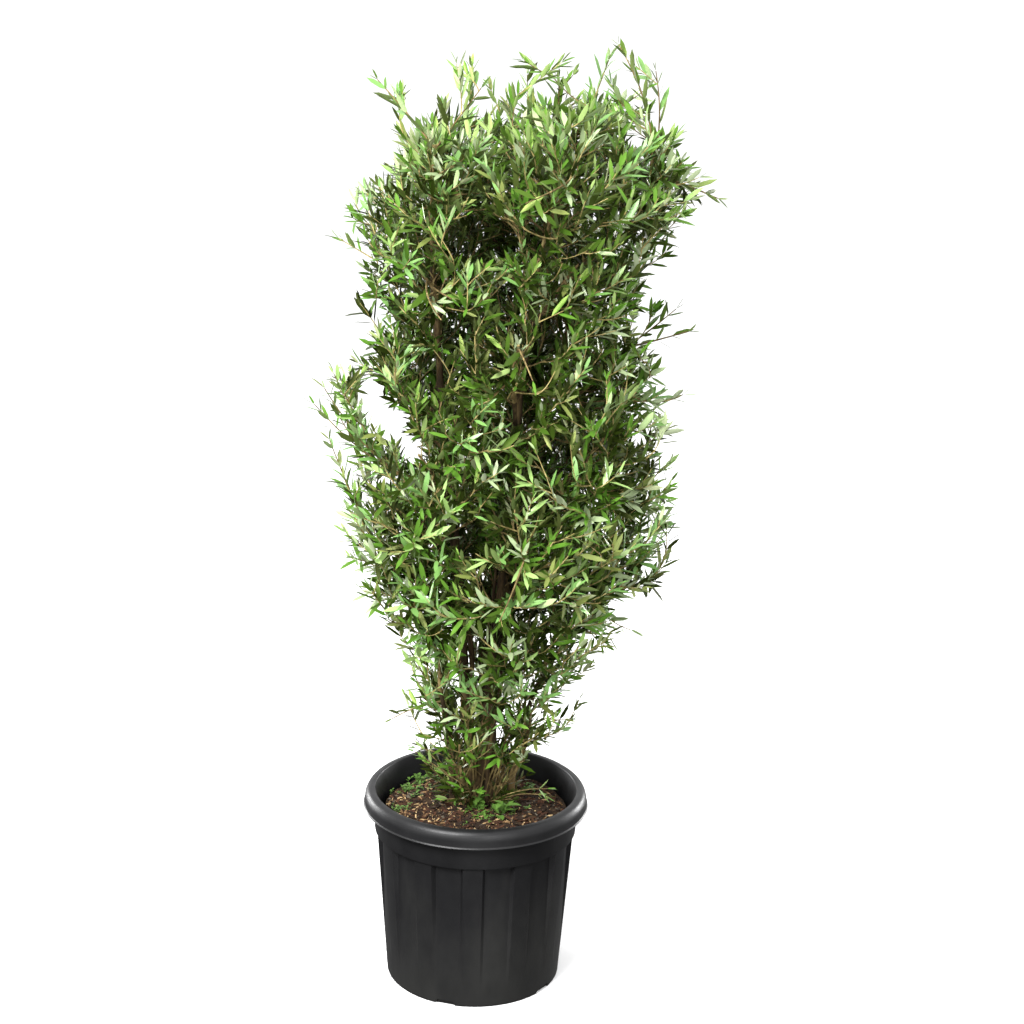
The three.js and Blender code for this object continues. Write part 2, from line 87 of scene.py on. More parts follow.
TRUNK = {"x": 4, "y": 20, "top": 398, "radius": 25.5, "flare": 1.42, "flare_height": 24, "lean": 3}
FORK = 0.7
FORK_SPREAD = 15
LOW_FORK = 0.36
WOBBLE = 5
STEMS = [
    {"name": "stem_left", "tip": (-84, -46, 1325), "bow": 0.85, "foot": 10, "end": 5.2, "turn": 190},
    {"name": "stem_right", "tip": (180, 6, 1330), "bow": 1.75, "foot": 11, "end": 5.6, "turn": 10},
    {"name": "stem_back", "tip": (96, 98, 1320), "bow": 1.2, "foot": 9, "end": 5.0, "turn": 100},
    {"name": "stem_front", "tip": (88, -104, 1300), "bow": 1.3, "foot": 9, "end": 4.8, "turn": 280},
]
SUCKERS = [
    {"name": "sucker_right", "foot": (62, 26), "tip": (112, 20, 560), "radius": 6.5, "end": 4.0},
    {"name": "sucker_left", "foot": (-42, 0), "tip": (-64, -38, 548), "radius": 6.0, "end": 3.8},
]

# The crown's outline: height, and how far it reaches left (-X) and right (+X) of the pot's axis.
OUTLINE = np.array([
    (395, 60, 80), (488, 138, 180), (590, 132, 204), (676, 172, 275), (767, 245, 330),
    (903, 255, 342), (991, 225, 344), (1090, 272, 322), (1185, 212, 304), (1334, 254, 320),
    (1430, 238, 374), (1500, 182, 338), (1580, 166, 296), (1640, 60, 262),
], float)
CROWN_DEPTH = 0.94
CROWN_Y = 6
# The tiers of foliage: height, number of masses, the first one's angle, twigs on each.
TIERS = [
    (470, 4, 57, 4), (612, 4, 12, 6), (780, 4, 10, 6), (945, 4, 52, 6), (1108, 4, 5, 6),
    (1272, 4, 48, 6), (1450, 5, 0, 6),
]
STAGGER = 26
RING = 0.56
# The ends of the long shoots. The last two are moved a little from the solids' ones, and the
# solids' one at the left edge is among LONE_SHOOTS here.
LONG_SHOOTS = [
    (206, -20, 1684), (270, 30, 1640), (-180, -40, 1622), (-14, -20, 1610), (112, 60, 1622),
    (378, -10, 1440), (340, 10, 1212),
]
# More long shoots, which reach as far forward and back as the solids do.
FAR_SHOOTS = [(62, -300, 1468), (80, -286, 1190), (36, -280, 790), (-64, -272, 1280), (30, 298, 1440)]
BOUGH = {"share": 0.6, "radius": 7.5, "against": 0.62, "tip": 4.4, "sag": 0.1, "clear": 10}
MASS_STEM = {"bend": 0.45, "rise": 1.3, "room": 0.7, "least": 15}
TWIG = {"first": 0.3, "last": 0.92, "outward": 0.45, "room": 0.75, "shortest": 25}
SOLID_LEAF = 124  # the length of the solids' leaves, which the masses' rule leaves room for
SEED = 5

GOLDEN_ANGLE = math.pi * (3 - math.sqrt(5))
UP = np.array([0.0, 0.0, 1.0])


# Vectors and numbers.

def unit(vector):
    vector = np.asarray(vector, float)
    return vector / max(1e-12, float(np.linalg.norm(vector)))


def units(vectors):
    return vectors / np.maximum(1e-12, np.linalg.norm(vectors, axis=-1, keepdims=True))


def lerp(a, b, t):
    return a + (b - a) * t


def smooth(t):
    t = np.clip(t, 0, 1)
    return t * t * (3 - 2 * t)


# From 0 at one value to 1 at another: at an even rate, and with soft ends.
def even_step(value, start, end):
    return min(1, max(0, float(value - start) / (end - start)))


def soft_step(value, start, end):
    return float(smooth((value - start) / (end - start)))


# The level direction at an angle from +X.
def level_at(angle):
    return np.array([math.cos(angle), math.sin(angle), 0.0])


# Seeded random numbers from 0 to 1, the same as the solids have.
def seeded(seed):
    mask = 0xFFFFFFFF
    state = seed & mask

    def draw():
        nonlocal state
        state = (state + 0x6D2B79F5) & mask
        t = ((state ^ (state >> 15)) * (1 | state)) & mask
        t = ((t + (((t ^ (t >> 7)) * (61 | t)) & mask)) ^ t) & mask
        return (t ^ (t >> 14)) / 4294967296

    return draw


# Curves.

# How far along a row of points each of them is.
def distances_along(points):
    return np.concatenate([[0], np.cumsum(np.linalg.norm(np.diff(points, axis=0), axis=1))])


# Points at even distances along a curve.
def spaced(curve, steps, fine=200):
    places = np.linspace(0, 1, fine + 1)
    gone = distances_along([curve(t) for t in places])
    return np.array([curve(np.interp(d, gone, places)) for d in np.linspace(0, gone[-1], steps + 1)])


# The curve from a to c that bends towards b.
def arc(a, b, c):
    return lambda t: (1 - t) ** 2 * a + 2 * (1 - t) * t * b + t * t * c


# The centripetal Catmull-Rom curve through points.
def through(points):
    points = np.asarray(points, float)
    last = len(points) - 1

    def at(t):
        place = t * last
        step = min(int(place), last - 1)
        weight = place - step
        p1 = points[step]
        p2 = points[step + 1]
        p0 = points[step - 1] if step > 0 else 2 * points[0] - points[1]
        p3 = points[step + 2] if step + 2 <= last else 2 * points[last] - points[last - 1]
        d0, d1, d2 = (float(np.sum((b - a) ** 2)) ** 0.25 for a, b in ((p0, p1), (p1, p2), (p2, p3)))
        t1 = ((p1 - p0) / d0 - (p2 - p0) / (d0 + d1) + (p2 - p1) / d1) * d1
        t2 = ((p2 - p1) / d1 - (p3 - p1) / (d1 + d2) + (p3 - p2) / d2) * d1
        c2 = -3 * p1 + 3 * p2 - 2 * t1 - t2
        c3 = 2 * p1 - 2 * p2 + t1 + t2
        return p1 + t1 * weight + c2 * weight ** 2 + c3 * weight ** 3

    return at


# The point and the heading at a share of the way along a row of points.
def along(points, t):
    place = t * (len(points) - 1)
    step = min(int(place), len(points) - 2)
    heading = unit(points[step + 1] - points[step])
    return lerp(points[step], points[step + 1], place - step), heading


# Limbs, by the solids' rule. Each has its curve, its points and its radii.

def limb(name, curve, radius_at, steps):
    radii = np.array([radius_at(i / steps) for i in range(steps + 1)])
    return {"name": name, "curve": curve, "points": spaced(curve, steps), "radii": radii,
            "radius_at": radius_at}


def trunk_limb():
    foot = np.array([TRUNK["x"], TRUNK["y"], ROOT_Z], float)
    top = np.array([TRUNK["x"] + TRUNK["lean"], TRUNK["y"], TRUNK["top"]], float)

    def radius_at(t):
        height = t * (TRUNK["top"] - ROOT_Z)
        root = TRUNK["radius"] * (TRUNK["flare"] - 1) * math.exp(-height / TRUNK["flare_height"])
        shoulder = max(0, (t - FORK) / (1 - FORK))
        return (TRUNK["radius"] + root) * math.sqrt(1 - 0.4 * shoulder * shoulder)

    return limb("trunk", lambda t: lerp(foot, top, t), radius_at, 6)


def stem_limb(spec, trunk, order):
    foot = along(trunk["points"], FORK)[0] + FORK_SPREAD * level_at(math.radians(spec["turn"]))
    bends = 7
    points = []
    for i in range(bends + 1):
        height = i / bends
        out = height ** spec["bow"]
        sway = WOBBLE * math.sin(2.1 * order + 5.3 * height) * min(1, height * 4)
        x = lerp(foot[0], spec["tip"][0], out) + sway
        y = lerp(foot[1], spec["tip"][1], out) - sway
        points.append((x, y, lerp(foot[2], spec["tip"][2], height)))
    return limb(spec["name"], through(points),
                lambda t: lerp(spec["foot"], spec["end"], t ** 0.85), 10)


def sucker_limb(spec):
    foot = np.array([*spec["foot"], ROOT_Z], float)
    tip = np.array(spec["tip"], float)
    bend = np.array([foot[0], foot[1], lerp(foot[2], tip[2], 0.5)])
    return limb(spec["name"], arc(foot, bend, tip),
                lambda t: lerp(spec["radius"], spec["end"], t), 5)


def distance_to_limb(piece, points):
    a = piece["points"][:-1]
    span = piece["points"][1:] - a
    t = np.einsum("psk,sk->ps", points[:, None] - a, span) / np.sum(span * span, axis=1)
    near = a + span * np.clip(t, 0, 1)[..., None]
    radius = np.maximum(piece["radii"][:-1], piece["radii"][1:])
    return (np.linalg.norm(points[:, None] - near, axis=2) - radius).min(axis=1)


# The crown, by the solids' rule.

# The crown's middle and its reach to either side at a height.
def crown_at(z):
    z = np.asarray(z, float)
    left, right = (np.interp(z, OUTLINE[:, 0], OUTLINE[:, side]) for side in (1, 2))
    inside = z <= OUTLINE[-1, 0]
    return np.where(inside, (right - left) / 2, 0), np.where(inside, (right + left) / 2, 0)


# How deep points are inside the crown: from its side, or from its foot where that is nearer.
def depth_in_crown(points):
    points = np.asarray(points, float)
    middle, reach = crown_at(points[..., 2])
    out = np.hypot(points[..., 0] - middle, (points[..., 1] - CROWN_Y) / CROWN_DEPTH)
    return np.minimum(reach - out, points[..., 2] - OUTLINE[0, 0])


def crown_masses():
    masses = []
    for level, (z, count, turn, twigs) in enumerate(TIERS):
        random = seeded(level + 1)
        middle, reach = crown_at(z)
        for k in range(count):
            angle = math.radians(turn + k * 360 / count + 10 * (random() - 0.5))
            out = np.array([math.cos(angle), CROWN_DEPTH * math.sin(angle), 0])
            stagger = STAGGER * (1 if k % 2 else -1) + 20 * (random() - 0.5)
            place = np.array([float(middle), CROWN_Y, z + stagger]) + out * RING * float(reach)
            masses.append({"name": f"foliage_{level + 1}_{k + 1}", "level": level, "twigs": twigs,
                           "seed": 100 * SEED + 10 * level + k, "middle": place, "out": unit(out),
                           "carrier": None, "shoots": []})
    return masses


def nearest_mass(masses, point):
    return min(masses, key=lambda mass: float(np.linalg.norm(mass["middle"] - point)))


# How far a point is from the planes halfway to the other masses.
def depth_in_share(mass, masses, point):
    least = math.inf
    for other in masses:
        if other is not mass:
            away = mass["middle"] - other["middle"]
            half = (mass["middle"] + other["middle"]) / 2
            least = min(least, (point - half) @ away / np.linalg.norm(away))
    return least


def carry_masses(masses, trunk, stems, suckers):
    for tipped in [*stems, *suckers]:
        tip = tipped["points"][-1]
        free = [mass for mass in masses if mass["carrier"] is None]
        above = [mass for mass in free if mass["middle"][2] > tip[2] + 40]
        nearest_mass(above, tip)["carrier"] = tipped
    boughs = []
    for mass in masses:
        if mass["carrier"] is not None:
            continue
        if mass["level"] == 0:
            mass["carrier"] = trunk
        else:
            limbs = [trunk, *stems, *suckers, *boughs]
            mass["carrier"] = bough_to(mass, stems, limbs, f"bough_{len(boughs) + 1}")
            boughs.append(mass["carrier"])
    return boughs


# The bough to a mass from the best place on a stem, clear of the other limbs.
def bough_to(mass, stems, limbs, name):
    best_cost, best = math.inf, None
    for stem in stems:
        for i in range(2, len(stem["points"]) - 1):
            away = mass["middle"] - stem["points"][i]
            flat = math.hypot(away[0], away[1])
            cost = flat + abs(away[2] - flat)
            if cost > best_cost:
                continue
            bough = bough_from(stem, i, mass, name)
            others = [piece for piece in limbs if piece is not stem]
            if not touches(bough["points"], others, BOUGH["clear"]):
                best_cost, best = cost, bough
    return best


def touches(points, limbs, clearance):
    tested = np.vstack([points, (points[1:] + points[:-1]) / 2])
    return any((distance_to_limb(piece, tested) < clearance).any() for piece in limbs)


def bough_from(stem, step, mass, name):
    foot = stem["points"][step]
    tip = lerp(foot, mass["middle"], BOUGH["share"])
    bend = lerp(foot, tip, 0.5)
    bend[2] -= BOUGH["sag"] * np.linalg.norm(tip - foot)
    thick = min(BOUGH["radius"], BOUGH["against"] * stem["radii"][step])
    return limb(name, arc(foot, bend, tip), lambda t: lerp(thick, BOUGH["tip"], t), 2)


# How far the way from a mass's middle is free until its share of the crown ends.
def space_along(mass, masses, direction):
    step = 8
    point = mass["middle"].copy()
    gone = 0
    while depth_in_share(mass, masses, point) > 2 and depth_in_crown(point) > 0:
        point = point + direction * step
        gone += step
    return gone


# The three points of the bend that a mass's stem follows.
def mass_stem(mass, masses):
    root, heading = along(mass["carrier"]["points"], LOW_FORK if mass["level"] == 0 else 1)
    if mass["level"] == 0:
        heading = mass["out"]
    else:
        root = root + heading * GAP
    rise = unit(mass["out"] + UP * MASS_STEM["rise"])
    far = space_along(mass, masses, rise) - MASS_STEM["room"] * SOLID_LEAF
    tip = mass["middle"] + rise * max(MASS_STEM["least"], far)
    bend = root + heading * MASS_STEM["bend"] * np.linalg.norm(tip - root)
    return np.array([root, bend, tip])


# The ends of a mass's first twigs, and where along its stem they leave it.
def mass_twigs(mass, masses, random):
    twigs = []
    offset = random() * 2 * math.pi
    count = mass["twigs"]
    for i in range(count):
        height = (2 * (i + 0.5)) / count - 1
        flat = math.sqrt(1 - height * height)
        turn = offset + i * GOLDEN_ANGLE
        direction = np.array([flat * math.cos(turn), flat * math.sin(turn), height])
        direction = unit(direction + mass["out"] * TWIG["outward"])
        far = space_along(mass, masses, direction) - TWIG["room"] * SOLID_LEAF
        end = mass["middle"] + direction * far
        place = lerp(TWIG["first"], TWIG["last"], i / (count - 1))
        foot = along(mass["stem"], place)[0]
        if np.linalg.norm(end - foot) > TWIG["shortest"]:
            twigs.append((place, end))
    return twigs


trunk = trunk_limb()
stems = [stem_limb(spec, trunk, i) for i, spec in enumerate(STEMS)]
suckers = [sucker_limb(spec) for spec in SUCKERS]
masses = crown_masses()
boughs = carry_masses(masses, trunk, stems, suckers)
for mass in masses:
    mass["stem"] = mass_stem(mass, masses)
for tip in np.array([*LONG_SHOOTS, *FAR_SHOOTS], float):
    nearest_mass(masses, tip)["shoots"].append(tip)


# Materials.

def grey(value):
    return (value, value, value)


# The linear colour of six hex digits.
def rgb(text):
    parts = [int(text[i:i + 2], 16) / 255 for i in (0, 2, 4)]
    return tuple(p / 12.92 if p <= 0.04045 else ((p + 0.055) / 1.055) ** 2.4 for p in parts)


def add_node(tree, kind, settings=None, **inputs):
    made = tree.nodes.new(kind)
    for key, value in (settings or {}).items():
        setattr(made, key, value)
    for key, value in inputs.items():
        socket = made.inputs[key.replace("_", " ")]
        if isinstance(value, bpy.types.NodeSocket):
            tree.links.new(value, socket)
        else:
            socket.default_value = value
    return made


def new_material(name, color, roughness, specular):
    made = bpy.data.materials.new(name)
    made.use_nodes = True
    shader = made.node_tree.nodes["Principled BSDF"]
    shader.inputs["Base Color"].default_value = (*color, 1)
    shader.inputs["Roughness"].default_value = roughness
    shader.inputs["Specular IOR Level"].default_value = specular
    return made, made.node_tree, shader


# Noise over the object's own coordinates, stretched along each axis.
def noise_of(tree, scale, detail, rough=0.55, stretch=(1, 1, 1)):
    place = add_node(tree, "ShaderNodeTexCoord")
    mapped = add_node(tree, "ShaderNodeMapping", Vector=place.outputs["Object"], Scale=stretch)
    made = add_node(tree, "ShaderNodeTexNoise", Vector=mapped.outputs[0], Scale=scale,
                    Detail=detail, Roughness=rough)
    return made.outputs[0]


def ramp_of(tree, value, stops):
    made = add_node(tree, "ShaderNodeValToRGB", Fac=value)
    elements = made.color_ramp.elements
    while len(elements) < len(stops):
        elements.new(0.5)
    for element, (place, color) in zip(elements, stops):
        element.position = place
        element.color = (*color, 1)
    return made.outputs[0]


def set_bump(tree, shader, height, distance, strength):
    made = add_node(tree, "ShaderNodeBump", Height=height, Distance=distance, Strength=strength)
    tree.links.new(made.outputs["Normal"], shader.inputs["Normal"])


def pot_material():
    made, tree, shader = new_material("pot_satin_plastic", rgb("141415"), 0.4, 0.26)
    place = add_node(tree, "ShaderNodeTexCoord")
    parts = add_node(tree, "ShaderNodeSeparateXYZ", Vector=place.outputs["Object"])
    # Painted light: the base colour grows lighter from the collar down to the foot, a painted glow of
    # light bounced up from the floor, with a noise for dust added to it.
    low = add_node(tree, "ShaderNodeMapRange", Value=parts.outputs["Z"], From_Min=0.28, From_Max=0.0)
    dust = noise_of(tree, 9, 5, 0.6, (1, 1, 0.35))
    both = add_node(tree, "ShaderNodeMath", {"operation": "MULTIPLY_ADD"})
    tree.links.new(low.outputs[0], both.inputs[0])
    both.inputs[1].default_value = 0.5
    tree.links.new(dust, both.inputs[2])
    shades = [(0.3, rgb("0d0d0e")), (0.62, rgb("151516")), (1.0, rgb("242423"))]
    color = ramp_of(tree, both.outputs[0], shades)
    tree.links.new(color, shader.inputs["Base Color"])
    rough = ramp_of(tree, noise_of(tree, 30, 4), [(0.3, grey(0.34)), (0.7, grey(0.46))])
    tree.links.new(rough, shader.inputs["Roughness"])
    set_bump(tree, shader, noise_of(tree, 900, 3), 0.0004, 0.35)
    return made


# A matt material with one noise for its shades and its bumps. grain holds that noise's settings,
# bump the bumps' height and strength.
def grained_material(name, color, roughness, specular, grain, stops, bump):
    made, tree, shader = new_material(name, rgb(color), roughness, specular)
    value = noise_of(tree, *grain)
    shades = ramp_of(tree, value, [(place, rgb(tone)) for place, tone in stops])
    tree.links.new(shades, shader.inputs["Base Color"])
    set_bump(tree, shader, value, *bump)
    return made


def bark_material(name, dark, middle, light, scale, stretch):
    stops = [(0.3, dark), (0.5, middle), (0.72, light)]
    return grained_material(name, middle, 0.85, 0.25, (scale, 7, 0.62, stretch), stops, (0.0025, 0.7))


def crumb_material(name, dark, light, scale):
    stops = [(0.32, dark), (0.68, light)]
    return grained_material(name, light, 0.95, 0.2, (scale, 6, 0.65), stops, (0.003, 0.8))


# blue is the share of blue in the sheen.
def leaf_material(name, color, roughness, blue=0.8):
    made, tree, shader = new_material(name, rgb(color), roughness, 0.45)
    shader.inputs["Specular Tint"].default_value = (0.9, 1.0, blue, 1)
    set_bump(tree, shader, noise_of(tree, 380, 3), 0.0006, 0.25)
    return made


# Meshes.

def add_object(name, data):
    made = bpy.data.objects.new(name, data)
    bpy.context.scene.collection.objects.link(made)
    return made


# Flat faces, or smooth ones with creases where they meet at more than that many degrees.
def smooth_faces(mesh, crease):
    mesh.polygons.foreach_set("use_smooth", np.full(len(mesh.polygons), crease is not None))
    if crease is not None:
        mesh.set_sharp_from_angle(angle=math.radians(crease))


# Points in millimetres and faces gathered for one object.
class Pile:
    def __init__(self):
        self.points = []
        self.faces = []
        self.slots = []
        self.size = 0

    def add(self, points, faces):
        self.add_faces([group + self.size for group in faces])
        self.points.append(points)
        self.size += len(points)

    def add_faces(self, groups, slot=0):
        for group in groups:
            self.faces.extend(group.tolist())
            self.slots.append(np.full(len(group), slot))

    # Rings round the Z axis, closed by a fan round the axis at the first one and at the last.
    def add_rings(self, rings, first_z, last_z):
        points = np.concatenate([*rings, [(0, 0, first_z), (0, 0, last_z)]])
        self.add(points, ring_faces(len(rings), len(rings[0])))

    def build(self, name, materials, crease=None):
        points = np.concatenate(self.points) * MM
        mesh = bpy.data.meshes.new(name)
        mesh.from_pydata(points.tolist(), [], self.faces)
        for looks in materials:
            mesh.materials.append(looks)
        mesh.polygons.foreach_set("material_index", np.concatenate(self.slots).astype(np.int32))
        smooth_faces(mesh, crease)
        mesh.update()
        return add_object(name, mesh)


# The quads between rings of points, and a fan at each end round its own middle point.
def ring_faces(rings, sides):
    ring, side = np.meshgrid(np.arange(rings - 1), np.arange(sides), indexing="ij")
    near = ring * sides + side
    beside = ring * sides + (side + 1) % sides
    quads = np.stack([near, beside, beside + sides, near + sides], axis=-1).reshape(-1, 4)
    turn = np.arange(sides)
    low = np.full(sides, rings * sides)
    high = low + 1
    last = (rings - 1) * sides
    foot = np.stack([low, (turn + 1) % sides, turn], axis=-1)
    head = np.stack([high, last + turn, last + (turn + 1) % sides], axis=-1)
    return [quads, np.concatenate([foot, head])]


TUBE_FACES = {}  # by the number of rings and of sides


# A closed tube along points. relief gives a factor on the radius for a ring and its angles.
def tube(points, radii, sides, relief=None):
    points = np.asarray(points, float)
    headings = units(np.gradient(points, axis=0))
    turns = np.linspace(0, 2 * math.pi, sides, endpoint=False)
    aside = (0.36, 0.48, 0.8) if abs(headings[0][2]) < 0.7 else (0.6, 0.8, 0)
    across = unit(np.cross(headings[0], aside))
    rings = []
    for i, (point, heading, radius) in enumerate(zip(points, headings, radii)):
        across = unit(across - heading * (across @ heading))
        other = np.cross(heading, across)
        around = np.cos(turns)[:, None] * across + np.sin(turns)[:, None] * other
        factor = radius if relief is None else (radius * relief(i, turns))[:, None]
        rings.append(point + around * factor)
    key = (len(points), sides)
    if key not in TUBE_FACES:
        TUBE_FACES[key] = ring_faces(*key)
    return np.concatenate([*rings, points[:1], points[-1:]]), TUBE_FACES[key]


# The faces of a box whose corners come with x changing fastest, then y, then z.
BOX_FACES = np.array([
    [0, 2, 3, 1], [4, 5, 7, 6], [0, 1, 5, 4], [2, 6, 7, 3], [0, 4, 6, 2], [1, 3, 7, 5],
])


# Corners of a profile rounded off: each is (radius, height, rounding).
def rounded(corners, steps=4):
    made = []
    for i, (r, z, rounding) in enumerate(corners):
        here = np.array([r, z], float)
        if rounding == 0 or i in (0, len(corners) - 1):
            made.append(here)
            continue
        before = unit(np.array(corners[i - 1][:2]) - here)
        after = unit(np.array(corners[i + 1][:2]) - here)
        bend = arc(here + before * rounding, here, here + after * rounding)
        made += [bend(t) for t in np.linspace(0, 1, steps + 1)]
    return made


# Pot.

def wall_radius(z):
    return lerp(FOOT_RADIUS, TOP_RADIUS, z / COLLAR_Z)


def inside_radius(z):
    return wall_radius(z) - FLUTE_DEPTH * min(1, z / COLLAR_Z) - WALL


SOIL_EDGE = inside_radius(COLLAR_Z)
FLUTE_PITCH = 360 / FLUTES
# Degrees from the middle of a ridge: its columns of points, and those of the flute's side and floor.
RIDGE_COLUMNS = [-RIDGE_HALF, -5.2, -3, 0, 3, 5.2, RIDGE_HALF]
SIDE_COLUMNS = [5.8, 6.2, 6.6, 7.0, 7.2]
FLOOR_COLUMNS = [7.4, 9.5, 12, 15, 18, 20.5, 22.6]
WALL_ROWS = [8, 14, 22, 32, FLUTE_END, 60, 90, 130, 170, 210, 245, 260, 264, 268, 271]


# How deep the flutes are, from 0 to 1, at an angle from the middle of a ridge and at a height.
def flute_share(degrees, z):
    off = np.abs((degrees + FLUTE_PITCH / 2) % FLUTE_PITCH - FLUTE_PITCH / 2)
    across = np.clip((off - RIDGE_HALF) / 1.6, 0, 1)
    if z >= LEDGE_Z:
        return across * np.clip((COLLAR_Z - z) / (COLLAR_Z - LEDGE_Z), 0, 1)
    return across * np.clip((z - FLUTE_END) / (LEDGE_Z - FLUTE_END), 0, 1)


def pot_piece():
    pile = Pile()
    far_side = [FLUTE_PITCH - column for column in reversed(SIDE_COLUMNS)]
    columns = RIDGE_COLUMNS + SIDE_COLUMNS + FLOOR_COLUMNS + far_side
    degrees = np.array([k * FLUTE_PITCH + column for k in range(FLUTES) for column in columns])
    turns = np.radians(degrees - 90)
    corners = [(0, 0, 0), (150, 0, 0), (FOOT_RADIUS, 0, 3)]
    corners += [(wall_radius(z), z, 0) for z in WALL_ROWS]
    corners += [
        (wall_radius(LEDGE_Z), LEDGE_Z, 1.2), (wall_radius(COLLAR_Z), COLLAR_Z, 0),
        (COLLAR_RADIUS - 0.4, COLLAR_Z + 0.6, 0.5), (COLLAR_RADIUS, COLLAR_Z + 3, 0),
        (COLLAR_RADIUS + 0.5, COLLAR_Z + 25, 0), (COLLAR_RADIUS + 1, LIP_Z, 1.5),
        (RIM_RADIUS, LIP_Z, 0.5), (RIM_RADIUS + 0.6, LIP_Z + 1.2, 0.4),
        (RIM_RADIUS - 1.4, LIP_Z + 3.4, 1), (RIM_RADIUS - 2.4, POT_HEIGHT - 12, 6),
        (RIM_RADIUS - 9, POT_HEIGHT, 7),
        (MOUTH_RADIUS + 1.5, POT_HEIGHT, 2.2), (MOUTH_RADIUS - 3, POT_HEIGHT - 22, 3),
        (SOIL_EDGE, COLLAR_Z, 0), (inside_radius(0), BASE_TOP, 2), (0, BASE_TOP, 0),
    ]
    rings = []
    for r, z in rounded(corners):
        outer = r > inside_radius(z) + 1
        depth = FLUTE_DEPTH * flute_share(degrees, z) if outer and FLUTE_END < z < COLLAR_Z else 0
        rings.append(np.column_stack([
            (r - depth) * np.cos(turns), (r - depth) * np.sin(turns), np.full(len(turns), z),
        ]))
    pile.add_rings(rings, 0, BASE_TOP)
    made = pile.build("pot_shell", [pot_material()])
    cut_notches(made)
    smooth_faces(made.data, 32)
    return made


# Low notches with slanted sides at the pot's foot.
def cut_notches(made):
    pile = Pile()
    slant = 5
    for k in range(NOTCHES):
        out = level_at(math.radians(NOTCH_TURN + k * 360 / NOTCHES - 90))
        side = np.array([-out[1], out[0], 0])
        corners = []
        for far in (FOOT_RADIUS - 5.5, FOOT_RADIUS + 12):
            for half, z in ((NOTCH_WIDTH / 2, -4), (NOTCH_WIDTH / 2 - slant, NOTCH_HEIGHT)):
                corners += [out * far - side * half + UP * z, out * far + side * half + UP * z]
        pile.add(np.array(corners), [BOX_FACES])
    cutter = pile.build("notch_cutter", [])
    change = made.modifiers.new("notches", "BOOLEAN")
    change.operation = "DIFFERENCE"
    change.object = cutter
    bpy.context.view_layer.objects.active = made
    with bpy.context.temp_override(object=made):
        bpy.ops.object.modifier_apply(modifier=change.name)
    bpy.data.objects.remove(cutter)


# Soil.

def soil_height(x, y):
    rough = sum(depth * noise.noise(Vector((x / scale, y / scale, 3.7 * scale)))
                for scale, depth in ((48, 3.2), (19, 2.0), (8, 1.1)))
    return SOIL_TOP - SOIL_DROP * soft_step(np.hypot(x, y), SOIL_FLAT, SOIL_EDGE) + rough


def soil_piece():
    pile = Pile()
    edge = SOIL_EDGE - 1.6
    radii = np.concatenate([[edge - 6], [edge], np.linspace(edge, 4, 74)[1:]])
    turns = np.linspace(0, 2 * math.pi, 256, endpoint=False)
    bottom = COLLAR_Z - 20
    rings = []
    for i, r in enumerate(radii):
        flat = np.stack([r * np.cos(turns), r * np.sin(turns)], axis=-1)
        high = np.array([bottom if i == 0 else soil_height(x, y) for x, y in flat])
        rings.append(np.column_stack([flat, high]))
    pile.add_rings(rings, bottom, soil_height(0, 0))
    looks = crumb_material("soil_crumbs", "150f0a", "40301f", 260)
    return pile.build("soil_bed", [looks], crease=60)


# Flakes of bark and straw: dark and light colour, how many, length, width against length.
CHIP_KINDS = [
    ("chips_dark", "150e09", "2e2117", 1100, 12, 0.36),
    ("chips_red", "25160e", "4d3120", 620, 14, 0.32),
    ("chips_tan", "54402b", "8a6d4b", 420, 10, 0.26),
    ("chips_grey", "39332b", "645c4e", 220, 8, 0.4),
    ("chips_straw", "8a7350", "c0a47a", 420, 8, 0.22),
]


# Flakes lying on the soil, each kind a piece of its own, with more thin ones at the front and left.
def chip_pieces():
    pieces = []
    random = np.random.default_rng(7)
    edge = SOIL_EDGE - 5
    box = np.array([[x, y, z] for z in (-1, 1) for y in (-1, 1) for x in (-1, 1)], float)
    for name, dark, light, count, size, slim in CHIP_KINDS:
        pile = Pile()
        for _ in range(count):
            r = edge * math.sqrt(random.random())
            turn = 2 * math.pi * random.random()
            x, y = r * math.cos(turn), r * math.sin(turn)
            if slim < 0.3 and x + y > 40 and random.random() < 0.6:
                continue
            long = size * random.uniform(0.5, 1.5)
            half = np.array([long, long * slim * random.uniform(0.7, 1.3), random.uniform(0.8, 2)]) / 2
            corners = box * half * random.uniform(0.65, 1.2, (8, 3))
            roll = Matrix.Rotation(random.uniform(-0.5, 0.5), 3, "X")
            pitch = Matrix.Rotation(random.uniform(-0.35, 0.35), 3, "Y")
            heading = Matrix.Rotation(random.uniform(0, 2 * math.pi), 3, "Z")
            turned_by = np.array(heading @ (roll @ pitch))
            spot = np.array([x, y, soil_height(x, y) + random.uniform(0, 2.6)])
            points = corners @ turned_by.T + spot
            out = np.hypot(points[:, 0], points[:, 1]).max()
            if out < edge + 2:
                pile.add(points, [BOX_FACES])
        pieces.append(pile.build(name, [crumb_material(name, dark, light, 240)]))
    return pieces


# Limbs with their bark.

# Longwise ridges, lumps and fine crumbs, deeper on thick wood.
def bark_relief(points, radii, seed):
    gone = distances_along(points)

    def relief(i, turns):
        deep = min(1, radii[i] / 9)
        factors = []
        for turn in turns:
            x, y = math.cos(turn), math.sin(turn)
            s = gone[i]
            lump = noise.noise(Vector((1.1 * x + seed, 1.1 * y, s / 60)))
            ridge = abs(noise.noise(Vector((3.2 * x, 3.2 * y + seed, s / 38))))
            crumb = noise.noise(Vector((6 * x, 6 * y, s / 9 + seed)))
            factors.append(1 + deep * (0.16 * lump - 0.22 * ridge + 0.07 * crumb + 0.04))
        return np.array(factors)

    return relief


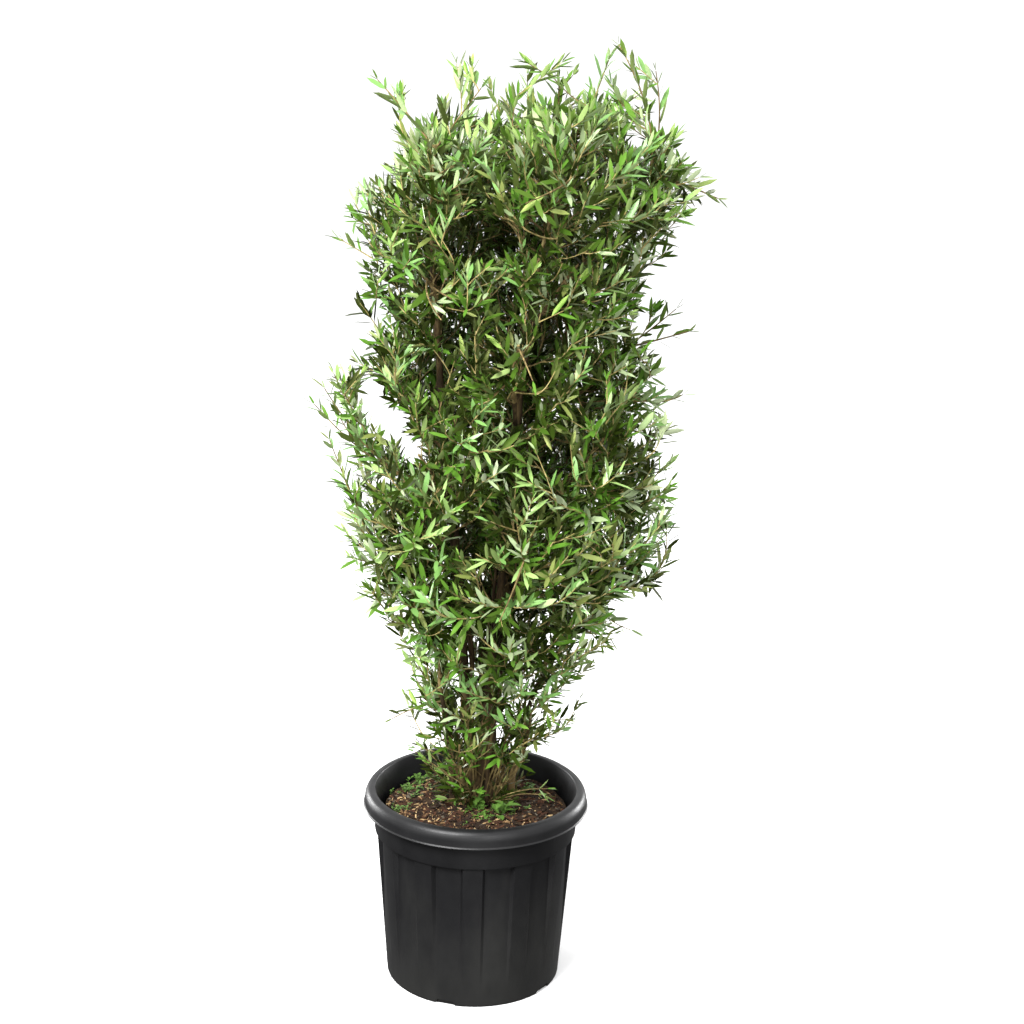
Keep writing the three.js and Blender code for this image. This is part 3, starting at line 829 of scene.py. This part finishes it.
def add_bark(pile, curve, radius_at, length, sides, seed):
    steps = max(4, round(length / 6))
    points = spaced(curve, steps)
    radii = np.array([radius_at(i / steps) for i in range(steps + 1)])
    wander = min(3.2, 0.4 * float(radii.mean()))
    for i, point in enumerate(points):
        for axis in (0, 1):
            points[i, axis] += wander * noise.noise(Vector((seed * 3.1 + axis * 7, 0, point[2] / 45)))
    pile.add(*tube(points, radii, sides, bark_relief(points, radii, seed)))


def path_length(points):
    return float(np.linalg.norm(np.diff(points, axis=0), axis=1).sum())


# The stool: the stems run on down side by side to the soil round a lumpy heart, and spread there.
def stool_parts():
    parts = []
    axis_foot = trunk["points"][0]
    for i, stem in enumerate(stems):
        fork = stem["points"][0]
        foot = axis_foot + 19 * level_at(math.radians(STEMS[i]["turn"] - 35)) - 4 * UP
        middle = lerp(foot, fork, 0.5) + 6 * UP
        rise = stem["curve"](0.012)
        radius = STEMS[i]["foot"]
        parts.append((through([foot, middle, fork, rise]), lambda t, r=radius: lerp(r + 3, r, t ** 0.6)))
    return parts


# Thinner stems that twine up round the main ones: whose, how far up, turns, side, foot and tip radius.
COMPANIONS = [
    ("stem_left", 0.66, 0.8, 250, 5.6, 2.2),
    ("stem_left", 0.40, -0.6, 120, 4.2, 1.8),
    ("stem_right", 0.80, 1.3, 200, 6.4, 2.4),
    ("stem_right", 0.46, -0.7, 320, 4.6, 2.0),
    ("stem_front", 0.55, 0.9, 300, 4.8, 2.0),
    ("stem_front", 0.34, -0.5, 180, 3.8, 1.6),
    ("stem_back", 0.60, 0.8, 40, 5.0, 2.0),
]


# Their curves, radii and points.
def companion_parts():
    parts = []
    axis_foot = trunk["points"][0]
    for name, share, turns, side, radius, tip in COMPANIONS:
        stem = next(piece for piece in stems if piece["name"] == name)
        side = math.radians(side)
        points = [axis_foot + 26 * level_at(side)]
        for t in np.linspace(0.06, 1, 14):
            out = stem["radius_at"](t * share) + lerp(radius, tip, t) * (0.9 + 1.2 * t)
            points.append(stem["curve"](t * share) + out * level_at(side + 2 * math.pi * turns * t))
        parts.append((through(points), lambda t, r=radius, e=tip: lerp(r * 1.15, e, t ** 0.8), points))
    return parts


companions = companion_parts()


def limb_piece():
    pile = Pile()
    for seed, piece in enumerate([*stems, *suckers, *boughs]):
        sides = 16 if piece["radii"][0] > 7 else 11
        length = path_length(piece["points"])
        add_bark(pile, piece["curve"], piece["radius_at"], length, sides, seed + 1.5)
    add_bark(pile, trunk["curve"], lambda t: 0.58 * trunk["radius_at"](t), 84, 30, 40.5)
    for seed, (curve, radius_at) in enumerate(stool_parts()):
        add_bark(pile, curve, radius_at, 70, 20, 50.5 + seed)
    for seed, (curve, radius_at, points) in enumerate(companions):
        add_bark(pile, curve, radius_at, path_length(np.array(points)), 10, 60.5 + seed)
    looks = bark_material("olive_bark", "1f180f", "443622", "766440", 55, (1, 1, 0.22))
    return pile.build("limbs_bark", [looks], crease=70)


# Leaves.

# Where along a leaf its outline has corners, how wide it is there, and how thick at the midrib.
LEAF_PLACES = [0.26, 0.7]
LEAF_WIDTHS = [0.94, 0.88]
LEAF_THICK = 0.55


# The points and faces of one leaf, one unit long and wide: root, tip, and at each place the left
# and right edges and the top and bottom of the midrib. The faces are those of the top, then those
# of the underside.
def leaf_template():
    points = [(0, 0, 0), (1, 0, 0)]
    for t, w in zip(LEAF_PLACES, LEAF_WIDTHS):
        points += [(t, w / 2, 0), (t, -w / 2, 0), (t, 0, 1), (t, 0, -1)]
    faces = []
    for mid, turn in ((4, 1), (5, -1)):
        quads = [(3, 7, mid + 4, mid), (mid, mid + 4, 6, 2)]
        tris = [(0, 3, mid), (0, mid, 2), (7, 1, mid + 4), (mid + 4, 1, 6)]
        faces.append([np.array(group)[:, ::turn] for group in (quads, tris)])
    return np.array(points, float), faces


TEMPLATE, TEMPLATE_FACES = leaf_template()


# Leaves of one kind, gathered for one object.
class Leaves:
    def __init__(self):
        self.rows = []

    # curl bends the tip down, fold lifts the edges.
    def add(self, root, direction, normal, length, width, curl, fold):
        self.rows.append((*root, *direction, *normal, length, width, curl, fold))

    # The leaves as one object, without those whose middle is in an opening or a hollow.
    def build(self, name, materials):
        rows = np.array(self.rows)
        rows = rows[~left_open(rows[:, 0:3] + rows[:, 3:6] * rows[:, 9:10] * 0.5)]
        root, direction, normal = rows[:, 0:3], units(rows[:, 3:6]), rows[:, 6:9]
        length, width, curl, fold = (rows[:, i][:, None] for i in (9, 10, 11, 12))
        side = units(np.cross(normal, direction))
        normal = np.cross(direction, side)
        t, y, rib = TEMPLATE.T
        high = -curl * length * t ** 2 + fold * np.abs(y) * width + rib * LEAF_THICK / 2
        points = (root[:, None] + direction[:, None] * (t * length)[..., None]
                  + side[:, None] * (y * width)[..., None] + normal[:, None] * high[..., None])
        offsets = np.arange(len(rows))[:, None, None] * len(TEMPLATE)
        pile = Pile()
        pile.points.append(points.reshape(-1, 3))
        for slot, groups in enumerate(TEMPLATE_FACES):
            pile.add_faces([(group + offsets).reshape(-1, group.shape[1]) for group in groups], slot)
        return pile.build(name, materials, crease=75)


# Colours are dealt out by spray: the upper side and the underside of each kind. Most kinds are
# lighter and darker copies of one green leaf, which leaf_kind deals out as painted light and painted
# shade.
LEAF_KINDS = {
    "fresh": ("87a55f", "b2c092"),
    "bright": ("648a48", "98ae78"),
    "middle": ("4a7024", "7c9256"),
    "deep": ("375116", "5e6f3e"),
    "dusk": ("24330b", "434f24"),
    "shade": ("192305", "2e3717"),
    "olive": ("6e793e", "9ca47a"),
    "silver": ("8a9a72", "b4c09c"),
}
# The kinds whose sheen has less blue than that of the others, and the share of blue in both.
DARK_KINDS = ("middle", "deep", "dusk", "shade")
DARK_SHEEN, PALE_SHEEN = 0.35, 0.85
leaves = {kind: Leaves() for kind in LEAF_KINDS}


LEAF_SPACING = 9.8  # between the pairs along a shoot
LEAF_LENGTH = (24, 44)
LEAF_SLIMNESS = (0.18, 0.24)  # width against length
STOOL_TOP = 450  # no leaf under this height differs in kind from its spray


# The height that the dense part of the crown ends at. Single shoots rise above it.
def dense_top(point):
    rise = 45 * soft_step(point[0], -60, 180)
    return 1519 + rise + 26 * noise.noise(Vector((point[0] / 50, point[1] / 50, 9)))


# How much a point belongs to the sunlit top of the crown, from 0 to 1.
def top_share(point):
    return soft_step(point[2] - dense_top(point), -105, -20)


# Which kind of leaves a spray has, which paints the crown's light and shade: darker kinds inside,
# at the stool and in the middle of the upper half are painted shade, fewer dark kinds at the sunlit
# top and paler kinds at the sides are painted light, and fresh green goes outside and most in the
# lower half. The weights stand in the order of LEAF_KINDS.
def leaf_kind(point, random):
    outside = 1 - even_step(depth_in_crown(point), 0, 85)
    low = 1 - soft_step(point[2], 850, 1200)
    top = top_share(point)
    shaded_core = float(smooth(1.25 - math.hypot((point[0] - 25) / 150, (point[2] - 1200) / 215)))
    side = soft_step(abs(point[0] - 40), 130, 240)
    stool = 1 - soft_step(point[2], 430, 560)
    weights = np.array([
        outside * (0.15 + 0.34 * low) * (1 - 0.5 * shaded_core) * (1 - 0.85 * stool),
        0.07 + outside * (0.34 + 0.18 * low) * (1 - 0.4 * shaded_core) * (1 - 0.85 * stool) + 0.16 * top,
        (0.3 + 0.14 * outside) * (1 - 0.6 * stool) + 0.26 * top,
        (0.45 - 0.2 * outside) * (1 - 0.3 * top) * (1 - 0.4 * side) + 0.3 * shaded_core + 0.1 * stool,
        0.5 * (1 - outside) ** 1.1 * (1 - 0.75 * top) + 0.1 * shaded_core + 0.4 * stool,
        0.45 * (1 - outside) ** 1.1 * (1 - 0.95 * top) + 0.12 * shaded_core + 0.4 * stool,
        0.06 + (0.12 + 0.12 * side) * outside + 0.05 * top,
        0.03 + outside * (0.16 + 0.18 * side) * (1 - 0.3 * low) * (1 - 0.8 * stool) + 0.02 * top,
    ])
    return list(LEAF_KINDS)[random.choice(len(weights), p=weights / weights.sum())]


# Opposite pairs of leaves along a shoot, each pair a quarter turn on, smaller towards the tip.
# bare is the share of the shoot without leaves.
def add_leaves(points, bare, random, kind, scale=1.0, spacing=LEAF_SPACING):
    length = path_length(points)
    start = max(4.0, bare * length)
    count = max(1, int((length - start) / spacing))
    across = unit(np.cross(points[-1] - points[0], random.normal(size=3)))
    upright = 1 - 0.35 * top_share(points[-1])
    scale *= 0.84 + 0.16 * soft_step(points[-1][2], 520, 720)
    for k in range(count + 1):
        last = k == count
        place = 1 if last else (start + k * (length - start) / count) / length
        point, heading = along(points, min(0.999, place))
        across = unit(across - heading * (across @ heading))
        other = np.cross(heading, across)
        swell = 0.34 * math.sin(math.pi * min(1, 0.25 + 0.75 * place))
        size = scale * (0.66 if last else 0.78 + swell)
        for sign in (1, -1):
            if not last and random.random() < 0.08:
                continue
            angle = random.uniform(12, 26) if last else random.uniform(28, 58) * upright
            angle = math.radians(angle)
            sideways = unit(across * sign + other * random.uniform(-0.35, 0.35))
            direction = heading * math.cos(angle) + sideways * math.sin(angle)
            direction = unit(direction + UP * random.uniform(-0.12, 0.2))
            normal = unit(heading + UP * 0.6 + random.normal(size=3) * 0.4)
            long = size * random.uniform(*LEAF_LENGTH)
            alike = random.random() < 0.85 or point[2] < STOOL_TOP
            own = kind if alike else leaf_kind(point, random)
            leaves[own].add(point, direction, normal, long, long * random.uniform(*LEAF_SLIMNESS),
                            random.uniform(-0.06, 0.16), random.uniform(0.05, 0.4))
        across = unit(other + across * random.uniform(-0.25, 0.25))


# The skeleton that the finer shoots leave from: places on it and its headings there.
class Skeleton:
    def __init__(self, most=80000):
        self.points = np.empty((most, 3))
        self.headings = np.empty((most, 3))
        self.size = 0

    def add(self, points, first=0.0):
        points = np.asarray(points, float)
        steps = max(2, int(path_length(points) / 9))
        for t in np.linspace(first, 1, steps):
            place, heading = along(points, min(0.999, t))
            self.points[self.size] = place
            self.headings[self.size] = heading
            self.size += 1

    def distances(self, target):
        return np.linalg.norm(target - self.points[:self.size], axis=1)

    # The best place for a shoot to a target to leave from: near, forward and below.
    def foot_for(self, target, nearest=46):
        away = target - self.points[:self.size]
        distance = self.distances(target)
        towards = away / np.maximum(distance, 1e-9)[:, None]
        forward = np.sum(towards * self.headings[:self.size], axis=1)
        level = np.maximum(0, 0.35 - towards[:, 2])
        cost = distance * (1 + 1.3 * np.maximum(0, 0.62 - forward) + 1.2 * level)
        cost[distance < nearest] += 500
        best = int(np.argmin(cost))
        return self.points[best].copy(), self.headings[best].copy(), float(distance[best])


# A shoot that goes on along its limb first, hangs by its share of the way out, and turns up again.
def bent(foot, heading, end, random, steps, lead=0.42, sag=0.16):
    away = end - foot
    long = float(np.linalg.norm(away))
    start = unit(heading * 0.55 + unit(away))
    knee = foot + start * lead * long + random.normal(size=3) * 0.03 * long
    knee[2] -= sag * math.hypot(away[0], away[1])
    return spaced(arc(foot, knee, end), steps, 24)


# The box that the ends of the finer shoots are scattered in, how many are tried, how far apart they
# are in the crown and where single shoots stand out of it, and how long a fine shoot may be.
TARGET_BOX = [(-300, -330, 398), (395, 340, 1640)]
TARGET_TRIES = 170000
TARGET_SPACING = 27.6
SINGLE_SPACING = 78
LONGEST_SHOOT = 230
# Ellipses on the plane through the pot's axis: x, z, half width and half height.
# Openings where the photo shows sky.
OPENINGS = [
    (-186, 1062, 24, 34), (-152, 1020, 26, 28), (-118, 972, 20, 22), (262, 1204, 14, 14),
    (-209, 1309, 22, 12), (-125, 1542, 16, 11), (279, 1536, 15, 16), (157, 522, 12, 18),
    (243, 1509, 9, 20), (-168, 919, 12, 9), (198, 647, 13, 8), (-101, 476, 15, 10),
    (106, 497, 10, 12), (41, 450, 14, 12), (267, 1003, 8, 12), (287, 1283, 13, 8),
]
# Hollows where the photo looks past the outer leaves at dark twigs and limbs.
HOLLOWS = [
    (-10, 1338, 66, 40), (-88, 1262, 24, 26), (80, 1350, 20, 34), (143, 1320, 22, 26),
    (31, 1238, 22, 30), (-55, 1186, 34, 30), (-88, 1112, 38, 34), (113, 1190, 26, 38),
    (92, 1125, 26, 38), (62, 1048, 28, 36), (125, 965, 32, 36), (183, 1067, 24, 24),
    (31, 738, 42, 30), (-21, 820, 28, 32), (83, 681, 30, 18), (-12, 610, 22, 30),
]
# Places at the crown's edge with single shoots only.
LOOSE = [
    (-222, 1490, 76, 72), (-268, 1146, 56, 44), (302, 1258, 50, 30), (310, 985, 24, 26),
    (272, 696, 46, 40), (-218, 744, 40, 28),
]
VIEWPOINT = np.array([52.45, -3587.4, 1941.7])  # the camera's place, in millimetres


# Whether points, looked at from the camera's place, are in one of the ellipses.
def in_ellipses(points, ellipses, grow=0.0):
    points = np.atleast_2d(points)
    share = (-VIEWPOINT[1] / (points[:, 1] - VIEWPOINT[1]))[:, None]
    flat = VIEWPOINT + (points - VIEWPOINT) * share
    inside = np.zeros(len(points), bool)
    for x, z, wide, high in ellipses:
        inside |= ((flat[:, 0] - x) / (wide + grow)) ** 2 + ((flat[:, 2] - z) / (high + grow)) ** 2 < 1
    return inside


# Openings go right through the crown, hollows only into its front half.
def left_open(points, grow=0.0):
    return in_ellipses(points, OPENINGS, grow) | (in_ellipses(points, HOLLOWS) & (points[:, 1] < 0))


# Ends for the finer shoots, scattered through the crown: closer together behind the hollows, wider
# apart near the edge, in clumps there, and single ones at the edge itself and above the dense part.
def shoot_targets(random):
    tries = random.uniform(*TARGET_BOX, (TARGET_TRIES, 3))
    tries = tries[depth_in_crown(tries) > 8]
    tries = tries[~left_open(tries, 10)]
    kept = np.empty_like(tries)
    count = 0
    at_each = zip(tries, depth_in_crown(tries), in_ellipses(tries, LOOSE), in_ellipses(tries, HOLLOWS))
    for point, depth, single, behind in at_each:
        clump = noise.noise(Vector(point / 62))
        height = soft_step(point[2], 480, 700)
        edge = (22 + 14 * noise.noise(Vector(point / 85))) * (0.25 + 0.75 * height)
        edge *= 0.5 + 0.5 * soft_step(point[2], 860, 980)
        outer = (1 - soft_step(depth, 14, 80)) * (0.3 + 0.7 * height)
        wider = outer * (0.42 + 0.5 * clump) + 0.12 * (1 - height) - 0.2 * behind
        spacing = TARGET_SPACING * (1 + wider)
        if point[2] < 440:
            spacing *= 1.3
        if single or depth < edge or point[2] > dense_top(point):
            spacing = SINGLE_SPACING
        if count and np.min(np.sum((kept[:count] - point) ** 2, axis=1)) < spacing ** 2:
            continue
        kept[count] = point
        count += 1
    return kept[:count]


# Thin shoots from the foot of the stool: number, how far out they end, lowest and highest end.
BASAL_SHOOTS = (22, 30, 115, 430, 600)
# Short sprays that hang low round the stool: where each ends.
LOW_SPRAYS = [
    (-92, 40, 384), (-70, 76, 372), (-60, 14, 366), (-96, 4, 400), (-44, 84, 352), (-78, 52, 344),
    (-30, 96, 380), (78, 4, 348), (66, -14, 338), (88, 34, 362), (60, 66, 352), (-104, 72, 404),
    (-50, -26, 372), (-30, -44, 350), (-68, -14, 352), (46, -38, 344), (-16, -50, 384), (58, -20, 380),
]
# Nearly bare twigs that cross in front of the stool: number, shortest and longest.
CROSSING = (26, 50, 140)
# Single shoots that stand away from the crown: where each starts and ends.
LONE_SHOOTS = [
    ((-150, -60, 915), (-248, -70, 1120)), ((-150, -50, 905), (-282, -50, 1062)),
    ((-150, -60, 915), (-264, -60, 1092)), ((-172, -30, 930), (-240, -50, 1042)),
    ((-160, -80, 930), (-206, -70, 1010)), ((-185, 0, 880), (-262, 10, 985)),
    ((-120, -20, 520), (-150, -20, 488)), ((120, 0, 640), (212, -40, 668)),
    ((180, -20, 760), (262, -40, 672)), ((230, 0, 1180), (318, 0, 1228)),
    ((250, 0, 1030), (336, -10, 1084)), ((150, 40, 1480), (258, 20, 1590)),
]


# The points, thickness, bare share and kind of leaves of each thin shoot at the stool.
def basal_shoots(random):
    foot = trunk["points"][0]
    count, near, far, low, high = BASAL_SHOOTS
    for k in range(count):
        out = level_at(2 * math.pi * (k + random.uniform(0.1, 0.9)) / count)
        start = foot + out * random.uniform(16, 32)
        end = foot + out * random.uniform(near, far) + UP * (random.uniform(low, high) - foot[2])
        end[:2] += random.normal(size=2) * 14
        lean = unit(UP + out * random.uniform(-0.3, 0.5) + random.normal(size=3) * 0.2)
        bare = 0.7 if out[1] < 0.3 else 0.45
        # Dark kinds only: painted shade at the stool.
        kind = ("shade", "dusk", "deep", "shade", "dusk")[k % 5]
        yield bent(start, lean, end, random, 9, 0.5, 0.0), random.uniform(1.6, 2.8), bare, kind
    for tip in LOW_SPRAYS:
        end = np.array(tip, float)
        out = unit((end - foot) * (1, 1, 0))
        # Dark kinds only: painted shade low round the stool.
        kind = "shade" if random.random() < 0.7 else "dusk"
        start = foot + out * 22 + UP * 6
        yield bent(start, unit(UP + out), end, random, 7, 0.5, 0.0), 1.5, 0.3, kind
    count, shortest, longest = CROSSING
    for _ in range(count):
        side = random.uniform(-1, 1)
        start = foot + np.array([34 * side, -random.uniform(10, 34), random.uniform(4, 50)])
        away = unit(random.uniform((-1.2, -0.6, 0.2), (1.2, 0.4, 1.1)))
        end = start + away * random.uniform(shortest, longest)
        lean = unit(UP + random.normal(size=3) * 0.7)
        yield bent(start, lean, end, random, 7, 0.5, 0.0), 1.0, 0.85, "middle"


# Twigs, young shoots and leaves. First come the shoots at the stool, the masses' stems and twigs
# and the single shoots, then a fine shoot to each target, to those nearest to all these first.
def foliage_pieces():
    twig_pile, shoot_pile = Pile(), Pile()
    skeleton = Skeleton()
    random = np.random.default_rng(SEED)

    # One tapering shoot: it joins the skeleton from its share first on, and has leaves from bare on.
    def grow(points, thick, thin, first, bare, kind, *scale_and_spacing, sides=6, pile=twig_pile):
        pile.add(*tube(points, np.linspace(thick, thin, len(points)), sides))
        skeleton.add(points, first)
        add_leaves(points, bare, random, kind, *scale_and_spacing)

    for piece in [*boughs, *suckers]:
        skeleton.add(piece["points"], 0.3)
    for piece in stems:
        skeleton.add(piece["points"], 0.12)
    for *_, points in companions:
        skeleton.add(points, 0.25)
    for points, thick, bare, kind in basal_shoots(random):
        grow(points, thick, 0.7, 0.5, bare, kind, 0.95)
    for mass in masses:
        root, bend, tip = mass["stem"]
        main = spaced(arc(root, bend, tip), 10, 40)
        grow(main, 4.2, 2.0, 0.1, 0.6, leaf_kind(tip, random), sides=7)
        for place, end in mass_twigs(mass, masses, seeded(mass["seed"])):
            if in_ellipses(end, LOOSE)[0]:
                continue
            points = bent(*along(main, place), end, random, 7)
            grow(points, 2.2, 1.2, 0.2, 0.5, leaf_kind(end, random))
        for end in mass["shoots"]:
            points = bent(*along(main, 0.96), end - 24 * UP, random, 9, 0.5)
            grow(points, 2.0, 0.9, 0.2, 0.2, "deep", 1.1, 22)
    for start, end in np.array(LONE_SHOOTS, float):
        place = int(np.argmin(skeleton.distances(start)))
        points = bent(skeleton.points[place], skeleton.headings[place], end, random, 9, 0.5)
        grow(points, 1.7, 0.8, 0.2, 0.25, leaf_kind(end, random), 1.05, 17)
    targets = shoot_targets(random)
    near = np.array([skeleton.distances(target).min() for target in targets])
    for target in targets[np.argsort(near)]:
        foot, heading, long = skeleton.foot_for(target)
        if long > LONGEST_SHOOT:
            continue
        points = bent(foot, heading, target, random, 5)
        inner = even_step(depth_in_crown(target), 50, 120)
        # Shoots that end deep inside the crown take the twigs' darker bark: painted shade inside the
        # crown.
        pile = twig_pile if inner > 0.5 else shoot_pile
        kind = leaf_kind(target, random)
        grow(points, 0.95 + 0.006 * long, 0.65, 0.35, 0.28 + 0.16 * inner, kind, sides=4, pile=pile)
    twig_looks = bark_material("twig_bark", "352a18", "6a5a38", "a0905f", 90, (1, 1, 0.4))
    shoot_looks = bark_material("shoot_bark", "5c4f2c", "8d7f4e", "bbad7b", 120, (1, 1, 0.4))
    pieces = [twig_pile.build("twigs", [twig_looks], crease=70),
              shoot_pile.build("young_shoots", [shoot_looks], crease=70)]
    for kind, (upper, under) in LEAF_KINDS.items():
        blue = DARK_SHEEN if kind in DARK_KINDS else PALE_SHEEN
        looks = [leaf_material(f"leaf_{kind}_upper", upper, 0.34, blue),
                 leaf_material(f"leaf_{kind}_under", under, 0.55, blue)]
        pieces.append(leaves[kind].build(f"leaves_{kind}", looks))
    return pieces


# Small weeds on the soil: x, y, spread, number of sprigs, leaf length.
WEEDS = [
    (8, -44, 30, 12, 9), (44, -50, 14, 3, 24), (12, -34, 12, 3, 22), (66, -40, 8, 4, 9),
    (-134, -25, 18, 16, 7), (-118, 60, 30, 34, 7), (-104, 112, 26, 26, 8), (-60, 96, 24, 14, 9),
    (90, -24, 6, 5, 7), (96, 70, 20, 10, 8), (20, -60, 34, 30, 5),
]


def weed_piece():
    random = np.random.default_rng(19)
    weeds = Leaves()
    for x, y, spread, count, size in WEEDS:
        for _ in range(count):
            spot = np.array([x, y]) + random.normal(size=2) * spread * 0.5
            foot = np.array([*spot, soil_height(*spot)])
            lean = unit(np.array([*random.normal(size=2) * 0.4, 1.0]))
            for k in range(5):
                level = level_at(2 * math.pi * random.random())
                direction = unit(level + UP * random.uniform(0.15, 0.9))
                long = size * random.uniform(0.6, 1.2)
                root = foot + lean * (0.5 + 0.22 * size * k)
                weeds.add(root, direction, unit(UP + direction * 0.1), long, long * 0.44, 0.2, 0.3)
    looks = [leaf_material("weed_upper", "466426", 0.5), leaf_material("weed_under", "728c4a", 0.6)]
    return weeds.build("weeds", looks)


BARK_NODES = ["trunk", *(piece["name"] for piece in [*stems, *suckers, *boughs])]
LEAF_NODES = [mass["name"] for mass in masses]


def finish_piece(made, slot, *nodes):
    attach(made, "root")
    if nodes:
        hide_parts(*nodes)


finish_piece(pot_piece(), "pot_plastic", "pot")
finish_piece(soil_piece(), "bark_compost", "soil")
for chips in chip_pieces():
    finish_piece(chips, "bark_compost")
finish_piece(limb_piece(), "bark", *BARK_NODES)
twigs, *others = foliage_pieces()
finish_piece(twigs, "bark", *LEAF_NODES)
for made in others:
    finish_piece(made, "foliage")
finish_piece(weed_piece(), "foliage")


# Camera, fitted to the pot's rim and foot.
PICTURE = 1024  # pixels, the width that the focal length is for
FOCAL = 2179.4  # pixels
PITCH = 0.291  # radians, down
ROLL = 0.024


def add_camera():
    data = bpy.data.cameras.new("camera")
    data.sensor_width = 36
    data.lens = FOCAL * data.sensor_width / PICTURE
    ahead = Vector((0, math.cos(PITCH), -math.sin(PITCH)))
    above = Vector((0, math.sin(PITCH), math.cos(PITCH)))
    right = Vector((1, 0, 0)) * math.cos(ROLL) + above * math.sin(ROLL)
    high = above * math.cos(ROLL) - Vector((1, 0, 0)) * math.sin(ROLL)
    turn = Matrix((right, high, -ahead)).transposed().to_4x4()
    made = add_object("camera", data)
    made.matrix_world = Matrix.Translation(Vector(VIEWPOINT * MM)) @ turn
    bpy.context.scene.camera = made


# Round lamps: place, what each points at, size, power.
LIGHTS = {
    "key": ((-2.0, -3.0, 3.8), (0, 0, 0.9), 2.2, 575),
    "fill": ((1.4, -3.9, 2.0), (0, 0, 0.9), 2.0, 60),
    "low": ((0.1, -1.9, 0.06), (0, 0, 0.3), 1.4, 5),
    "back_left": ((-2.9, 2.4, 0.6), (0, 0, 0.6), 1.1, 115),
    "back_right": ((2.9, 2.4, 0.6), (0, 0, 0.6), 1.1, 115),
}


def add_light(name, place, target, size, power):
    data = bpy.data.lights.new(name, "AREA")
    data.shape = "DISK"
    data.size = size
    data.energy = power
    made = add_object(name, data)
    made.location = place
    made.rotation_euler = (Vector(target) - Vector(place)).to_track_quat("-Z", "Y").to_euler()


# A floor wide enough to fill the picture. It takes shadows, and throws no light up at the plant.
def add_floor():
    half = 60
    corners = [(-half, -half, 0), (half, -half, 0), (half, half, 0), (-half, half, 0)]
    mesh = bpy.data.meshes.new("floor")
    mesh.from_pydata(corners, [], [(0, 1, 2, 3)])
    mesh.materials.append(new_material("floor_white", grey(0.77), 0.9, 0.1)[0])
    made = add_object("floor", mesh)
    made.visible_diffuse = False
    made.visible_glossy = False
    made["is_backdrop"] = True


SKY_STRENGTH = 1.68


# A white sky, brighter overhead than at the horizon and dim below it.
def add_sky():
    world = bpy.data.worlds.new("studio")
    world.use_nodes = True
    tree = world.node_tree
    place = add_node(tree, "ShaderNodeTexCoord")
    parts = add_node(tree, "ShaderNodeSeparateXYZ", Vector=place.outputs["Generated"])
    height = add_node(tree, "ShaderNodeMapRange", Value=parts.outputs["Z"], From_Min=-1.0, From_Max=1.0)
    greys = [(0.0, grey(0.05)), (0.452, grey(0.1)), (0.482, grey(0.64)), (0.95, grey(1.0))]
    glow = ramp_of(tree, height.outputs[0], greys)
    background = tree.nodes["Background"]
    tree.links.new(glow, background.inputs["Color"])
    background.inputs["Strength"].default_value = SKY_STRENGTH
    bpy.context.scene.world = world


bpy.context.scene.view_settings.view_transform = "Standard"
add_sky()
add_camera()
for name, light in LIGHTS.items():
    add_light(name, *light)
add_floor()

boxes = {"cad": cad_box, "visual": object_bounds()}
{key: [list(map(float, corner)) for corner in box] for key, box in boxes.items()}
